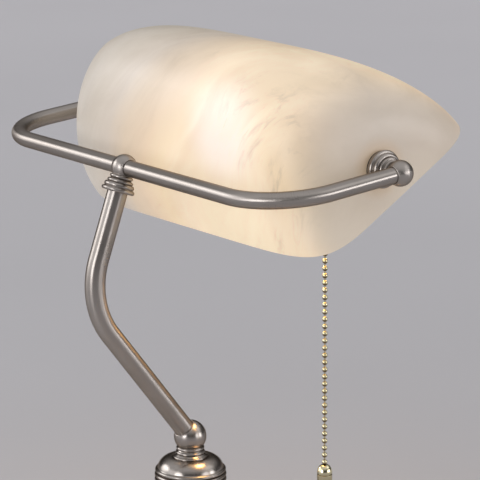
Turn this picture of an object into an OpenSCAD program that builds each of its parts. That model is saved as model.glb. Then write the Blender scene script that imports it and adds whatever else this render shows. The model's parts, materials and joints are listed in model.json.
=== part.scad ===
// Banker desk lamp: weighted round foot, turned column, bent stem, U-shaped yoke
// and a glass shade that tilts on two pivots. A pull-chain socket sits inside the shade.
// Millimetres, +Z up. X runs along the yoke's bar, the user sits on the -Y side,
// and the origin is the centre of the pad's underside.

/* [Foot] */
// Outer diameter of the foot
foot_d = 172; // [150:1:200]
// Height of the foot's upright edge above the table
foot_edge_h = 17.5; // [17:0.5:21]
// Rounding of the foot's upper edge
foot_edge_r = 4; // [2:0.5:5]
// Diameter where the foot's dome starts
dome_d = 148; // [120:1:150]
// Height of the step between the foot's edge and its dome
dome_step = 2; // [1:0.5:4]
// Rise of the foot's dome above the step
dome_rise = 12.5; // [10:0.5:18]
// Diameter of the collar on top of the foot
collar_d = 49; // [46:1:54]
// Height of the collar above the dome
collar_h = 3; // [2:0.5:5]
// Thickness of the spun foot shell
shell_t = 1.2; // [0.8:0.1:1.8]
// Thickness of the felt pad
pad_t = 1.6; // [1:0.1:3]
// How far the felt pad stays inside the foot's edge
pad_inset = 4; // [3:0.5:8]
// Gap between the foot shell's rim and the table
rim_gap = 1; // [0.5:0.1:1.5]

/* [Column] */
// Height of the turned column
column_h = 57.2; // [45:0.1:80]
// Radius of the bead at the column's foot
column_foot_r = 22; // [20:0.5:23]
// Smallest radius of the column
column_waist_r = 14.5; // [13:0.5:16]
// Radius of the column's upper ring
column_top_r = 20.8; // [19:0.1:21]
// Height of the bead at the column's foot
column_bead_h = 5; // [4:0.5:7]
// Height of the column's upper ring
column_ring_h = 2.2; // [1.5:0.1:4]
// Outer radius of the rings round the cap
cap_ring_r = 21.5; // [20.5:0.1:23]
// Height of each ring round the cap
cap_ring_h = 2.9; // [2:0.1:4]
// Radius of the cap's rounded shoulder
cap_shoulder_r = 8.2; // [6:0.1:9]
// Depth of the seat in the top of the cap
cap_seat_depth = 1.1; // [0.5:0.1:2]

/* [Stem] */
// Outer diameter of the stem tube
stem_d = 12; // [11:0.1:12.5]
// Wall of the stem tube
stem_wall = 1.2; // [0.8:0.1:1.8]
// Height of the tee's ball above the knuckle's ball
stem_rise = 169.5; // [150:0.5:200]
// Lean of the lower straight away from upright
stem_low_lean = 38; // [34:0.5:42]
// Lean of the upper straight away from upright
stem_top_lean = 20; // [16:0.5:24]
// How far the tee's ball lies behind the knuckle's ball
stem_back = 44.8; // [38:0.1:52]
// Bend radius of the stem's centre line
stem_bend_r = 48; // [40:1:56]

/* [Fittings] */
// Diameter of the knuckle's ball
knuckle_d = 19.4; // [18.5:0.1:21]
// Distance from the knuckle's ball centre to its flange
knuckle_reach = 13.6; // [13:0.1:16]
// Radius of the knuckle's flange
knuckle_flange_r = 10.4; // [10:0.1:11]
// Diameter of the balls on the yoke
ball_d = 14.9; // [14.5:0.1:16.5]
// Distance from a yoke ball's centre to its flange
ball_reach = 14.8; // [14:0.1:17]
// Radius of the tee's flange
tee_flange_r = 9.7; // [9.2:0.1:11]
// Radius of the end fittings' flanges
end_flange_r = 10.9; // [10:0.1:11.3]
// Half height of the turned beads
bead_r = 1; // [0.8:0.1:1.1]
// Chamfer round the holes that take the tubes
hole_chamfer = 0.6; // [0.2:0.1:0.8]

/* [Yoke] */
// Outer diameter of the yoke tube
yoke_d = 9.5; // [9:0.1:10]
// Wall of the yoke tube
yoke_wall = 1.1; // [0.8:0.1:1.4]
// Distance from the bar to the balls on the arms
yoke_arm = 89; // [84:0.5:100]
// Bend radius of the yoke's centre line
yoke_bend_r = 40; // [30:1:46]
// How far the yoke's arms rise towards the front
yoke_rise_angle = 5; // [0:0.5:10]

/* [Shade] */
// Half length of the glass shade
shade_half = 121.5; // [110:0.5:135]
// Half width of the glass shade
shade_half_w = 67; // [64:0.5:70]
// Height of the crown above the rim
shade_h = 92; // [84:0.5:100]
// Thickness of the glass
glass_t = 4; // [3:0.1:5]
// Squareness of the rim seen from above
plan_power = 6.3; // [4:0.1:8]
// Squareness of the crown seen from the side
crown_power = 3.8; // [3:0.1:5]
// Fullness of the cross section
arch_power = 1.76; // [1.6:0.01:2.2]
// How far the crown leans back for each millimetre of height
crown_lean = 0.165; // [0:0.005:0.2]
// Height of the pivots above the rim
pivot_up = 23.5; // [20:0.5:30]
// How far the pivots lie behind the middle of the rim
pivot_back = 6.5; // [0:0.5:9]
// Tilt of the rim at rest, with the front raised
shade_tilt = 31; // [20:1:35]
// Radius of the flat ground round each pivot hole
flat_r = 11.6; // [11.5:0.1:13]

/* [Pivots] */
// Diameter of the hollow pivot nipples
nipple_d = 8; // [7.4:0.1:8.6]
// Bore of the hollow nipples
nipple_bore = 5.4; // [4.4:0.1:5.8]
// Thickness of the metal washers
washer_t = 1.2; // [0.8:0.1:2]
// Radius of the outer washers
washer_r = 10.2; // [9.5:0.1:10.8]
// Thickness of the rubber grommets' flanges
grommet_flange_t = 1.2; // [0.8:0.1:2]
// Radius of the rubber grommets' flanges
grommet_flange_r = 9.8; // [9:0.1:10.5]
// Radius of the rubber grommets' sleeves
grommet_r = 6.2; // [5.8:0.1:7]
// Width across the flats of the pivot nuts
nut_flats = 14; // [13:0.5:16]
// Thickness of the pivot nuts
nut_t = 4; // [3:0.5:6]

/* [Socket] */
// Radius of the socket shell
socket_r = 16.5; // [16.3:0.1:18]
// Thickness of the socket's sheet metal
socket_t = 0.6; // [0.4:0.1:0.8]
// Length of the socket's cap
cap_len = 14; // [12:0.5:18]
// Length of the socket's shell
socket_len = 40; // [38:0.5:46]
// Distance from the cap's face to the chain outlet
outlet_from_cap = 30.8; // [28:0.1:32]
// Lean of the chain outlet towards the back
outlet_lean = 14.7; // [0:0.1:20]
// Radius from the socket's axis to the outlet's mouth
outlet_reach = 24; // [22:0.5:27]

/* [Bulb] */
// Radius of the bulb's globe
bulb_r = 24; // [22:0.5:26]
// Length of the bulb from its contact to its top
bulb_len = 85; // [80:0.5:95]
// Radius of the bulb's screw base
bulb_base_r = 13; // [12.8:0.1:13.1]
// Length of the bulb's screw base
bulb_base_len = 22; // [20:0.5:24]

/* [Chain] */
// Diameter of a chain bead
bead_d = 3.2; // [2.8:0.1:3.6]
// Distance from bead to bead
bead_pitch = 4.3; // [4:0.05:4.6]
// Number of hanging beads
bead_count = 37; // [20:1:44]
// Greatest diameter of the pull
pull_d = 9; // [7:0.5:12]
// Length of the pull
pull_len = 24; // [20:0.5:32]
// Height of the dome on top of the pull
pull_cap_h = 5; // [3:0.5:6]

/* [Inlet and wiring] */
// Bore of the cord bushing
inlet_bore = 7; // [5:0.1:7.4]
// Height of the cord bushing's axis above the table
inlet_z = 8.6; // [8.4:0.1:8.8]
// Diameter of the lead inside the tubes
lead_d = 2.8; // [2:0.1:3.2]
// Diameter of the central threaded rod
rod_d = 9.8; // [9:0.1:10.2]
// Bore of the central threaded rod
rod_bore = 6.4; // [5:0.1:7]

/* [Fits] */
// Radial clearance of a shaft or tube in its hole
fit = 0.06; // [0.03:0.01:0.1]
// Gap between the shade's grommets and the metal that clamps them
clamp_gap = 0.05; // [0.02:0.01:0.1]
// Loose clearance between parts that only pass each other
loose = 0.3; // [0.2:0.05:0.5]

/* [Hidden] */
$fn = 64;
over = 1;
arc_steps = 10;

// levels up the middle of the lamp
foot_top = foot_edge_h + dome_step + dome_rise + collar_h;
column_top = foot_top + column_h;
cap_rings_top = column_top + 3 * cap_ring_h;
cap_crest = cap_rings_top + 0.8 * cap_shoulder_r;
cap_seat = cap_crest - cap_seat_depth;
knuckle_z = cap_seat + knuckle_reach;
tee_y = stem_back;
tee_z = knuckle_z + stem_rise;

// stem centre line: two straights that meet at a corner, rounded by the bend
corner_drop = (stem_rise * tan(stem_low_lean) - stem_back) / (tan(stem_top_lean) + tan(stem_low_lean));
corner_y = tee_y + corner_drop * tan(stem_top_lean);
corner_z = tee_z - corner_drop;
stem_turn = stem_top_lean + stem_low_lean;
bend_cut = stem_bend_r * tan(stem_turn / 2);
low_len = (corner_z - knuckle_z) / cos(stem_low_lean) - bend_cut;
top_len = corner_drop / cos(stem_top_lean) - bend_cut;
stem_bore_d = stem_d - 2 * stem_wall;
stem_seat_low = 3;
joint_lap = 1.2;
bend_y = corner_y - bend_cut * sin(stem_low_lean) - stem_bend_r * cos(stem_low_lean);
bend_z = corner_z - bend_cut * cos(stem_low_lean) + stem_bend_r * sin(stem_low_lean);

// fittings on the yoke
knuckle_r = knuckle_d / 2;
knuckle_neck_r = 8;
ball_r = ball_d / 2;
neck_r = 6;
flange_t = 2.4;
knuckle_flange_t = 2;
knuckle_bead_step = 0.4;
tee_bead_step = 0.8;
bead_gap = 0.6;
stem_seat_top = sqrt(ball_r * ball_r - neck_r * neck_r) + 4 * bead_r + 2 * bead_gap;
nipple_seat = yoke_d / 2 + 0.6;
wire_hole_d = 5.6;
wire_turn = lead_d / 2 + 2 * loose;

// stack along the pivot axis, measured from the middle of the yoke
glass_face = shade_half - 0.2;
grommet_face = glass_face + grommet_flange_t;
washer_face = grommet_face + clamp_gap + washer_t;
yoke_half = washer_face + ball_reach;
glass_inside = glass_face - glass_t;
inner_washer_x = glass_inside - grommet_flange_t - clamp_gap;
nut_x = inner_washer_x - washer_t;
cap_x = nut_x - nut_t;
pivot_y = tee_y - yoke_arm * cos(yoke_rise_angle);
pivot_z = tee_z + yoke_arm * sin(yoke_rise_angle);
yoke_bore = yoke_d - 2 * yoke_wall;
arm_seat = 3;

// socket and bulb, measured along the pivot axis from the socket cap's face
shell_start = cap_len - 2.5;
body_start = 9;
body_end = outlet_from_cap + 4;
cap_plate_t = 4.6;
cap_curve_r = 7;
contact_t = 0.8;
bulb_start = body_end + contact_t;
shell_end = shell_start + socket_len;
screw_gap = 0.4;
screw_t = 0.5;
screw_r = bulb_base_r + screw_gap + screw_t;
screw_inset = 2;
screw_shell_len = shell_end - body_end - screw_inset;
spout_r = 3.6;
spout_bore = bead_d + 2 * loose;
spout_mouth_r = 4.6;
outlet_x = outlet_from_cap - cap_x;
link_d = 0.9;
toggle_inside = 5;
toggle_len = outlet_reach - socket_r + toggle_inside;

function arc(cr, cz, r, a0, a1, n = arc_steps) =
    [for (i = [0:n]) let (a = a0 + (a1 - a0) * i / n) [cr + r * cos(a), cz + r * sin(a)]];
function ellipse_arc(cr, cz, ra, rb, a0, a1, n) =
    [for (i = [0:n]) let (a = a0 + (a1 - a0) * i / n) [cr + ra * cos(a), cz + rb * sin(a)]];
function power(v, p) = sign(v) * pow(abs(v), p);

// ---- placing ----
module at_tee() { translate([0, tee_y, tee_z]) children(); }
module at_knuckle() { translate([0, 0, knuckle_z]) children(); }
module at_pivot() { translate([0, pivot_y, pivot_z]) children(); }
module in_shade() { at_pivot() rotate([-shade_tilt, 0, 0]) children(); }
module in_yoke() { at_tee() rotate([-yoke_rise_angle, 0, 0]) children(); }
// local +Z points from the pivot's outer end towards the lamp's middle; side is -1 near, 1 far
module on_pivot(side, x) { at_pivot() translate([side * x, 0, 0]) rotate([0, -side * 90, 0]) children(); }

module ring(r_out, r_in, h) {
    difference() {
        cylinder(r = r_out, h = h);
        translate([0, 0, -over]) cylinder(r = r_in, h = h + 2 * over);
    }
}

// turned fitting: a ball at the origin, two beads and a flange along -Z
module turned_fitting(r, neck, step, flange, thick, reach) {
    neck_z = sqrt(r * r - neck * neck);
    bead_1 = neck_z + bead_gap + bead_r;
    bead_2 = bead_1 + 2 * bead_r + bead_gap;
    rotate_extrude() polygon(concat(
        arc(0, 0, r, 90, -acos(neck / r), 24),
        arc(neck + step - bead_r, -bead_1, bead_r, 90, -90),
        arc(neck + 2 * step - bead_r, -bead_2, bead_r, 90, -90),
        [[neck + step, -bead_2 - bead_r]],
        arc(flange - thick / 2, thick / 2 - reach, thick / 2, 90, -90),
        [[0, -reach]]));
}

// ---- foot ----
dome_sweep = 70;
function foot_line(inset) = concat(
    [[foot_d / 2 - inset, rim_gap]],
    arc(foot_d / 2 - foot_edge_r, foot_edge_h - foot_edge_r, foot_edge_r - inset, 0, 90),
    [[dome_d / 2 + dome_step - inset, foot_edge_h - inset]],
    ellipse_arc(0, foot_edge_h + dome_step, dome_d / 2 - inset, dome_rise - inset, 0, dome_sweep, 24),
    [[collar_d / 2 - inset, foot_top - collar_h - inset / 2]],
    [[collar_d / 2 - inset, foot_top - inset]]);

module felt_pad() {
    color("dimgray") cylinder(r = foot_d / 2 - pad_inset, h = pad_t);
}

weight_well_r = 16;
weight_well_top = 12.4;
weight_gap = 2;
weight_r = foot_d / 2 - shell_t - loose - weight_gap;
weight_dome_r = dome_d / 2 - 2 * weight_gap;
weight_hub_r = collar_d / 2 - shell_t - loose;
channel_w = 9;

module base_weight() {
    color("#3a3a3c") difference() {
        rotate_extrude() polygon(concat(
            [[0, pad_t], [weight_r, pad_t], [weight_r, foot_edge_h - foot_edge_r]],
            [[weight_dome_r, foot_edge_h - shell_t - weight_gap]],
            ellipse_arc(0, foot_edge_h, weight_dome_r, dome_rise - weight_gap, 0, dome_sweep, 12),
            [[weight_hub_r, foot_top - collar_h - 2 * weight_gap], [weight_hub_r, foot_top - shell_t]],
            [[0, foot_top - shell_t]]));
        translate([0, 0, -over]) cylinder(r = rod_d / 2 + loose, h = foot_top + 2 * over);
        translate([0, 0, -over]) cylinder(r = weight_well_r, h = weight_well_top + over);
        translate([-channel_w / 2, 0, -over]) cube([channel_w, foot_d / 2, weight_well_top + over]);
    }
}

module foot_shell() {
    color("silver") difference() {
        rotate_extrude() polygon(concat(
            foot_line(0), [[rod_d / 2 + fit, foot_top], [rod_d / 2 + fit, foot_top - shell_t]],
            [for (i = [len(foot_line(0)) - 1:-1:0]) foot_line(shell_t)[i]]));
        translate([0, bushing_start_y, inlet_z]) rotate([-90, 0, 0])
            cylinder(r = inlet_bore / 2 + bushing_wall + fit, h = 2 * bushing_len);
    }
}

bushing_wall = 1.1;
bushing_flange_r = inlet_bore / 2 + 1.8;
bushing_lip_t = 1.6;
bushing_flange_t = 1.2;
bushing_out_y = foot_d / 2;
bushing_in_y = sqrt(pow(foot_d / 2 - shell_t, 2) - pow(bushing_flange_r, 2));
bushing_start_y = bushing_in_y - bushing_lip_t;
bushing_len = bushing_out_y + bushing_flange_t + bushing_lip_t - bushing_start_y;

module cord_bushing() {
    color("#222222") translate([0, 0, inlet_z]) rotate([-90, 0, 0]) difference() {
        union() {
            translate([0, 0, bushing_start_y]) cylinder(r = bushing_flange_r, h = bushing_lip_t);
            translate([0, 0, bushing_start_y]) cylinder(r = inlet_bore / 2 + bushing_wall, h = bushing_len);
            translate([0, 0, bushing_out_y]) cylinder(r = bushing_flange_r, h = bushing_flange_t);
            translate([0, 0, bushing_out_y + bushing_flange_t])
                cylinder(r1 = bushing_flange_r, r2 = inlet_bore / 2 + bushing_wall, h = bushing_lip_t);
        }
        translate([0, 0, bushing_start_y - over]) cylinder(r = inlet_bore / 2, h = bushing_len + 2 * over);
    }
}

// ---- column ----
column_step_in = 1;
column_step_h = 1.2;
column_cove_h = 6;
column_flare_in = 1.2;
column_wall = 2.5;
column_lid = 5;
column_body_low = foot_top + column_bead_h + column_cove_h;
column_body_top = column_top - column_ring_h - column_step_h;

// radius of the column's body: waisted low down, flaring out to the upper ring
function column_r(t) = column_waist_r + (column_top_r - column_flare_in - column_waist_r) * (1 - cos(90 * t));

module column() {
    bead_h = column_bead_h;
    step_r = column_foot_r - bead_h / 2 - column_step_in;
    color("silver") difference() {
        rotate_extrude() polygon(concat(
            [[0, foot_top]],
            arc(column_foot_r - bead_h / 2, foot_top + bead_h / 2, bead_h / 2, -90, 90),
            [[step_r, foot_top + bead_h], [step_r, foot_top + bead_h + column_step_h]],
            [for (i = [0:16]) let (t = i / 16)
                [column_r(t), column_body_low + (column_body_top - column_body_low) * t]],
            [[column_top_r - column_ring_h / 2, column_top - column_ring_h]],
            arc(column_top_r - column_ring_h / 2, column_top - column_ring_h / 2, column_ring_h / 2, -90, 90),
            [[0, column_top]]));
        translate([0, 0, foot_top - over])
            cylinder(r = column_waist_r - column_wall, h = column_h - column_lid + over);
        translate([0, 0, foot_top]) cylinder(r = rod_d / 2 + fit, h = column_h + over);
    }
}

cap_groove_h = 0.3;
cap_groove_in = 2;
cap_shoulder_in = 1.6;
cap_top_ring_in = 0.3;
cap_recess_r = 12;

// ring number i of the cap, counted from below
function cap_ring(i, inset) =
    let (half = (cap_ring_h - cap_groove_h) / 2 - inset / 2)
    arc(cap_ring_r - inset - half, column_top + (i + 0.5) * cap_ring_h, half, -90, 90);

module column_cap() {
    groove_r = cap_ring_r - cap_groove_in;
    shoulder_r = cap_ring_r - cap_shoulder_in - cap_shoulder_r;
    color("silver") difference() {
        rotate_extrude() polygon(concat(
            [[0, column_top]],
            cap_ring(0, 0), [[groove_r, column_top + cap_ring_h]],
            cap_ring(1, 0), [[groove_r, column_top + 2 * cap_ring_h]],
            cap_ring(2, cap_top_ring_in),
            arc(shoulder_r, cap_crest - cap_shoulder_r, cap_shoulder_r, 12, 90, 14),
            [[knuckle_flange_r + loose, cap_crest - 0.1], [knuckle_flange_r + loose, cap_seat]],
            [[0, cap_seat]]));
        translate([0, 0, column_top - over]) cylinder(r = cap_recess_r, h = 2.6 * cap_ring_h + over);
        translate([0, 0, column_top]) cylinder(r = rod_d / 2 + fit, h = cap_crest - column_top + over);
    }
}

rod_low = 5.2;
washer_low = weight_well_top - 1.4;
base_nut_t = 5;
base_nut_flats = 17;

module central_rod() {
    color("goldenrod") translate([0, 0, rod_low])
        ring(rod_d / 2, rod_bore / 2, knuckle_z - stem_seat_low - rod_low);
}

module base_washer() {
    color("gray") translate([0, 0, washer_low])
        ring(weight_well_r - 2, rod_d / 2 + fit, weight_well_top - washer_low);
}

module hex_nut(flats, thick, bore_r) {
    difference() {
        cylinder(r = flats / 2 / cos(30), h = thick, $fn = 6);
        translate([0, 0, -over]) cylinder(r = bore_r, h = thick + 2 * over);
    }
}

module base_nut() {
    color("gray") translate([0, 0, washer_low - base_nut_t])
        hex_nut(base_nut_flats, base_nut_t, rod_d / 2 + fit);
}

// ---- knuckle, stem and tee ----
// conical chamfer where a round hole of that radius leaves a ball, along +Z
module tube_chamfer(ball, hole) {
    rim = sqrt(ball * ball - pow(hole + hole_chamfer, 2));
    translate([0, 0, rim - hole_chamfer])
        cylinder(r1 = hole, r2 = hole + 2 * hole_chamfer, h = 2 * hole_chamfer);
}

module knuckle_fitting() {
    color("silver") at_knuckle() difference() {
        turned_fitting(knuckle_r, knuckle_neck_r, knuckle_bead_step, knuckle_flange_r,
            knuckle_flange_t, knuckle_reach);
        rotate([-stem_low_lean, 0, 0]) {
            translate([0, 0, stem_seat_low]) cylinder(r = stem_d / 2 + fit, h = knuckle_d);
            cylinder(d = wire_hole_d, h = stem_seat_low + over);
            tube_chamfer(knuckle_r, stem_d / 2 + fit);
        }
        translate([0, 0, -knuckle_reach - over])
            cylinder(r = rod_d / 2 + fit, h = knuckle_reach + over - stem_seat_low);
        translate([0, 0, -knuckle_r]) cylinder(d = wire_hole_d, h = knuckle_r + stem_seat_low);
    }
}

// the stem's centre line as two straights and the bend, all in the bend's own frame
module stem_run(outer, inner, low_cut, top_cut) {
    translate([0, bend_y, bend_z]) rotate([0, 90, 0]) rotate([0, 0, 90 - stem_low_lean]) {
        translate([stem_bend_r, 0, 0]) rotate([90, 0, 0]) pipe(outer, inner, low_len - low_cut);
        bent_pipe(outer, inner, stem_bend_r, stem_turn);
        rotate([0, 0, stem_turn]) translate([stem_bend_r, 0, 0]) rotate([-90, 0, 0])
            pipe(outer, inner, top_len - top_cut);
        // thin sleeve inside the wall that ties the bend to the upper straight
        rotate([0, 0, stem_turn]) translate([stem_bend_r, -joint_lap, 0]) rotate([-90, 0, 0])
            pipe(outer - joint_lap / 4, inner > 0 ? inner + joint_lap / 4 : 0, 2 * joint_lap);
    }
}

module pipe(outer, inner, h) {
    if (inner > 0) ring(outer / 2, inner / 2, h);
    else cylinder(d = outer, h = h);
}

module bent_pipe(outer, inner, r, turn) {
    rotate_extrude(angle = turn) translate([r, 0]) difference() {
        circle(d = outer);
        if (inner > 0) circle(d = inner);
    }
}

module stem_tube() {
    color("silver") stem_run(stem_d, stem_bore_d, stem_seat_low, stem_seat_top);
}

screw_d = 3;
screw_len = 2.2;
screw_key_d = 1.5;
screw_key_depth = 1;
stem_screw_s = stem_seat_top + 1.9;

module tee_fitting() {
    color("silver") at_tee() difference() {
        rotate([stem_top_lean, 0, 0])
            turned_fitting(ball_r, neck_r, tee_bead_step, tee_flange_r, flange_t, ball_reach);
        rotate([stem_top_lean, 0, 0]) translate([0, 0, -ball_reach - over])
            cylinder(r = stem_d / 2 + fit, h = ball_reach + over - stem_seat_top);
        rotate([stem_top_lean, 0, 0]) translate([0, 0, -ball_reach])
            cylinder(d = wire_hole_d, h = ball_reach);
        translate([-ball_d, 0, 0]) rotate([0, 90, 0]) cylinder(r = yoke_d / 2 + fit, h = 2 * ball_d);
        for (side = [-1, 1]) rotate([0, side * 90, 0]) tube_chamfer(ball_r, yoke_d / 2 + fit);
        tee_screw_axes() cylinder(r = screw_d / 2 + fit, h = ball_d);
    }
}

// the two screw axes: one on the bar from the front, one on the stem's end
module tee_screw_axes() {
    rotate([90 - yoke_rise_angle, 0, 0]) translate([0, 0, yoke_d / 2 + fit]) children();
    rotate([stem_top_lean, 0, 0]) translate([0, 0, -stem_screw_s]) rotate([90, 0, 0])
        translate([0, 0, stem_d / 2 + fit]) children();
}

module set_screw() {
    difference() {
        cylinder(d = screw_d, h = screw_len);
        translate([0, 0, screw_len - screw_key_depth])
            cylinder(d = screw_key_d, h = screw_key_depth + over, $fn = 6);
    }
}

module tee_set_screws() {
    color("#333333") at_tee() tee_screw_axes() set_screw();
}

// ---- yoke ----
module yoke_run(outer, inner, sides) {
    in_yoke() {
        if (len(sides) == 2) translate([yoke_bend_r - yoke_half, 0, 0]) rotate([0, 90, 0])
            pipe(outer, inner, 2 * (yoke_half - yoke_bend_r));
        if (len(sides) == 1) translate([yoke_bend_r - yoke_half, 0, 0]) rotate([0, 90, 0])
            pipe(outer, inner, yoke_half - yoke_bend_r);
        for (side = sides) {
            translate([side * (yoke_half - yoke_bend_r), -yoke_bend_r, 0])
                rotate([0, 0, side > 0 ? 0 : 90]) bent_pipe(outer, inner, yoke_bend_r, 90);
            translate([side * yoke_half, -yoke_bend_r, 0]) rotate([90, 0, 0])
                pipe(outer, inner, yoke_arm - yoke_bend_r - arm_seat);
        }
    }
}

module yoke_tube() {
    color("silver") difference() {
        yoke_run(yoke_d, yoke_bore, [-1, 1]);
        at_tee() rotate([stem_top_lean, 0, 0]) translate([0, 0, -ball_r])
            cylinder(d = wire_hole_d, h = ball_r);
    }
}

module end_fitting(side) {
    color("silver") difference() {
        on_pivot(side, yoke_half) rotate([180, 0, 0])
            turned_fitting(ball_r, neck_r, tee_bead_step, end_flange_r, flange_t, ball_reach);
        in_yoke() translate([side * yoke_half, -yoke_arm, 0]) rotate([-90, 0, 0]) {
            translate([0, 0, arm_seat]) cylinder(r = yoke_d / 2 + fit, h = ball_d);
            translate([0, 0, -wire_turn]) cylinder(d = wire_hole_d, h = ball_r);
            tube_chamfer(ball_r, yoke_d / 2 + fit);
        }
        on_pivot(side, yoke_half + wire_turn) cylinder(d = nipple_bore, h = ball_reach + wire_turn + over);
        on_pivot(side, yoke_half - nipple_seat) cylinder(r = nipple_d / 2 + fit, h = ball_reach);
    }
}

// ---- pivots ----
nipple_spare = 3;
nipple_end_far = nut_x - nut_t - nipple_spare;
nipple_end_near = cap_x - cap_plate_t - nipple_spare;

module pivot_nipple(side, end_x) {
    color("goldenrod") on_pivot(side, yoke_half - nipple_seat)
        ring(nipple_d / 2, nipple_bore / 2, yoke_half - nipple_seat - end_x);
}

module outer_washer(side) {
    color("silver") on_pivot(side, washer_face) ring(washer_r, nipple_d / 2 + fit, washer_t);
}

module inner_washer(side) {
    color("silver") on_pivot(side, inner_washer_x) ring(washer_r, nipple_d / 2 + fit, washer_t);
}

module pivot_nut(side) {
    color("goldenrod") on_pivot(side, nut_x) hex_nut(nut_flats, nut_t, nipple_d / 2 + fit);
}

module grommet(side) {
    color("#2b2b2b") on_pivot(side, grommet_face) difference() {
        union() {
            cylinder(r = grommet_flange_r, h = grommet_flange_t);
            cylinder(r = grommet_r, h = 2 * grommet_flange_t + glass_t);
            translate([0, 0, grommet_flange_t + glass_t])
                cylinder(r = grommet_flange_r, h = grommet_flange_t);
        }
        translate([0, 0, -over]) cylinder(r = nipple_d / 2 + fit, h = glass_t + 4 * grommet_flange_t);
    }
}

// ---- shade ----
shade_rings = 36;
shade_cols = 24;

// point on the shell of half sizes hl, hw and height hh; u runs along X, v over the arch
function shell_point(hl, hw, hh, u, v) =
    let (x = power(sin(u), 2 / crown_power),
        rise = pow(abs(cos(u)), 2 / crown_power),
        spread = pow(max(0, 1 - pow(abs(x), plan_power)), 1 / plan_power),
        z = hh * rise * pow(abs(sin(v)), 2 / arch_power))
    [hl * x, hw * spread * power(cos(v), 2 / arch_power) + crown_lean * z, z];

// a solid bowl of the given half sizes, flat side down at z = 0
module shell_form(hl, hw, hh) {
    n = shade_cols + 1;
    m = shade_rings - 1;
    near_tip = m * n;
    far_tip = m * n + 1;
    points = concat(
        [for (i = [1:m]) for (j = [0:shade_cols])
            shell_point(hl, hw, hh, 180 * i / shade_rings - 90, 180 * j / shade_cols)],
        [[-hl, 0, 0], [hl, 0, 0]]);
    faces = concat(
        [for (i = [0:m - 2]) for (j = [0:shade_cols - 1]) each [
            [i * n + j, (i + 1) * n + j, (i + 1) * n + j + 1],
            [i * n + j, (i + 1) * n + j + 1, i * n + j + 1]]],
        [for (j = [0:shade_cols - 1]) each [
            [near_tip, j, j + 1], [far_tip, (m - 1) * n + j + 1, (m - 1) * n + j]]],
        [for (i = [0:m - 2]) each [
            [i * n, i * n + shade_cols, (i + 1) * n + shade_cols],
            [i * n, (i + 1) * n + shade_cols, (i + 1) * n]]],
        [[near_tip, shade_cols, 0], [far_tip, (m - 1) * n, (m - 1) * n + shade_cols]]);
    polyhedron(points = points, faces = faces, convexity = 4);
}

module shade_glass() {
    color("antiquewhite") in_shade() difference() {
        union() {
            translate([0, -pivot_back, -pivot_up]) difference() {
                shell_form(shade_half, shade_half_w, shade_h);
                translate([0, 0, -0.01])
                    shell_form(shade_half - glass_t, shade_half_w - glass_t, shade_h - glass_t);
            }
            for (side = [-1, 1]) rotate([0, side * 90, 0])
                translate([0, 0, glass_inside]) cylinder(r = flat_r, h = glass_t);
        }
        for (side = [-1, 1]) rotate([0, side * 90, 0]) {
            translate([0, 0, glass_face]) cylinder(r = flat_r, h = 20);
            translate([0, 0, glass_inside - 20]) cylinder(r = flat_r, h = 20);
            translate([0, 0, glass_inside - over]) cylinder(r = grommet_r + fit, h = glass_t + 2 * over);
        }
    }
}

// ---- socket and bulb: local +Z runs from the cap's face towards the bulb ----
module at_socket(s) { on_pivot(-1, cap_x - s) children(); }

cap_collar_r = 7.5;

module socket_cap() {
    r = socket_r + socket_t;
    color("goldenrod") at_socket(0) rotate_extrude() polygon(concat(
        [[nipple_d / 2 + fit, 0], [cap_collar_r, 0], [cap_collar_r, cap_plate_t - socket_t]],
        arc(r - cap_curve_r, cap_plate_t - socket_t + cap_curve_r, cap_curve_r, -90, 0),
        [[r, cap_len], [socket_r + fit, cap_len]],
        arc(r - cap_curve_r, cap_plate_t - socket_t + cap_curve_r, cap_curve_r - socket_t + fit, 0, -90),
        [[nipple_d / 2 + fit, cap_plate_t - fit]]));
}

module outlet_axis() {
    at_pivot() translate([outlet_x, 0, 0]) rotate([180 + outlet_lean, 0, 0]) children();
}

module socket_shell() {
    color("goldenrod") difference() {
        at_socket(shell_start) ring(socket_r, socket_r - socket_t, socket_len);
        outlet_axis() cylinder(r = spout_r + fit, h = outlet_reach);
    }
}

liner_t = 0.8;
liner_r = socket_r - socket_t - fit;
body_r = liner_r - liner_t - fit;
outlet_start = body_r - 1.6;
body_hole_depth = 8;

module socket_liner() {
    color("saddlebrown") difference() {
        at_socket(shell_start + 1) ring(liner_r, liner_r - liner_t, socket_len - 1);
        outlet_axis() cylinder(r = spout_r + fit, h = outlet_reach);
    }
}

module socket_body() {
    color("#1d1d1d") difference() {
        at_socket(body_start) cylinder(r = body_r, h = body_end - body_start);
        at_socket(body_start - over) cylinder(d = nipple_d + 2 * loose, h = body_hole_depth);
        outlet_axis() translate([0, 0, outlet_reach - bead_d / 2 - toggle_len - loose])
            cylinder(d = spout_bore, h = outlet_reach);
        outlet_axis() translate([0, 0, outlet_start]) cylinder(r = spout_r + fit, h = outlet_reach);
    }
}

module screw_shell() {
    color("gold") at_socket(body_end) ring(screw_r, screw_r - screw_t, screw_shell_len);
}

contact_r = 4;

module centre_contact() {
    color("gold") at_socket(body_end) cylinder(r = contact_r, h = contact_t);
}

spout_lip_r = 1.2;
spout_flare = 0.9;

// bell-mouthed spout that the chain leaves by
module chain_outlet() {
    color("goldenrod") outlet_axis() difference() {
        rotate_extrude() polygon(concat(
            [[0, outlet_start], [spout_r, outlet_start], [spout_r, outlet_reach - 2 * spout_lip_r]],
            arc(spout_mouth_r - spout_lip_r, outlet_reach - spout_lip_r, spout_lip_r, -60, 90),
            [[0, outlet_reach]]));
        translate([0, 0, outlet_start - over]) cylinder(d = spout_bore, h = outlet_reach);
        translate([0, 0, outlet_reach - spout_lip_r])
            cylinder(r1 = spout_bore / 2, r2 = spout_bore / 2 + spout_flare, h = spout_lip_r + 0.01);
    }
}

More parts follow.
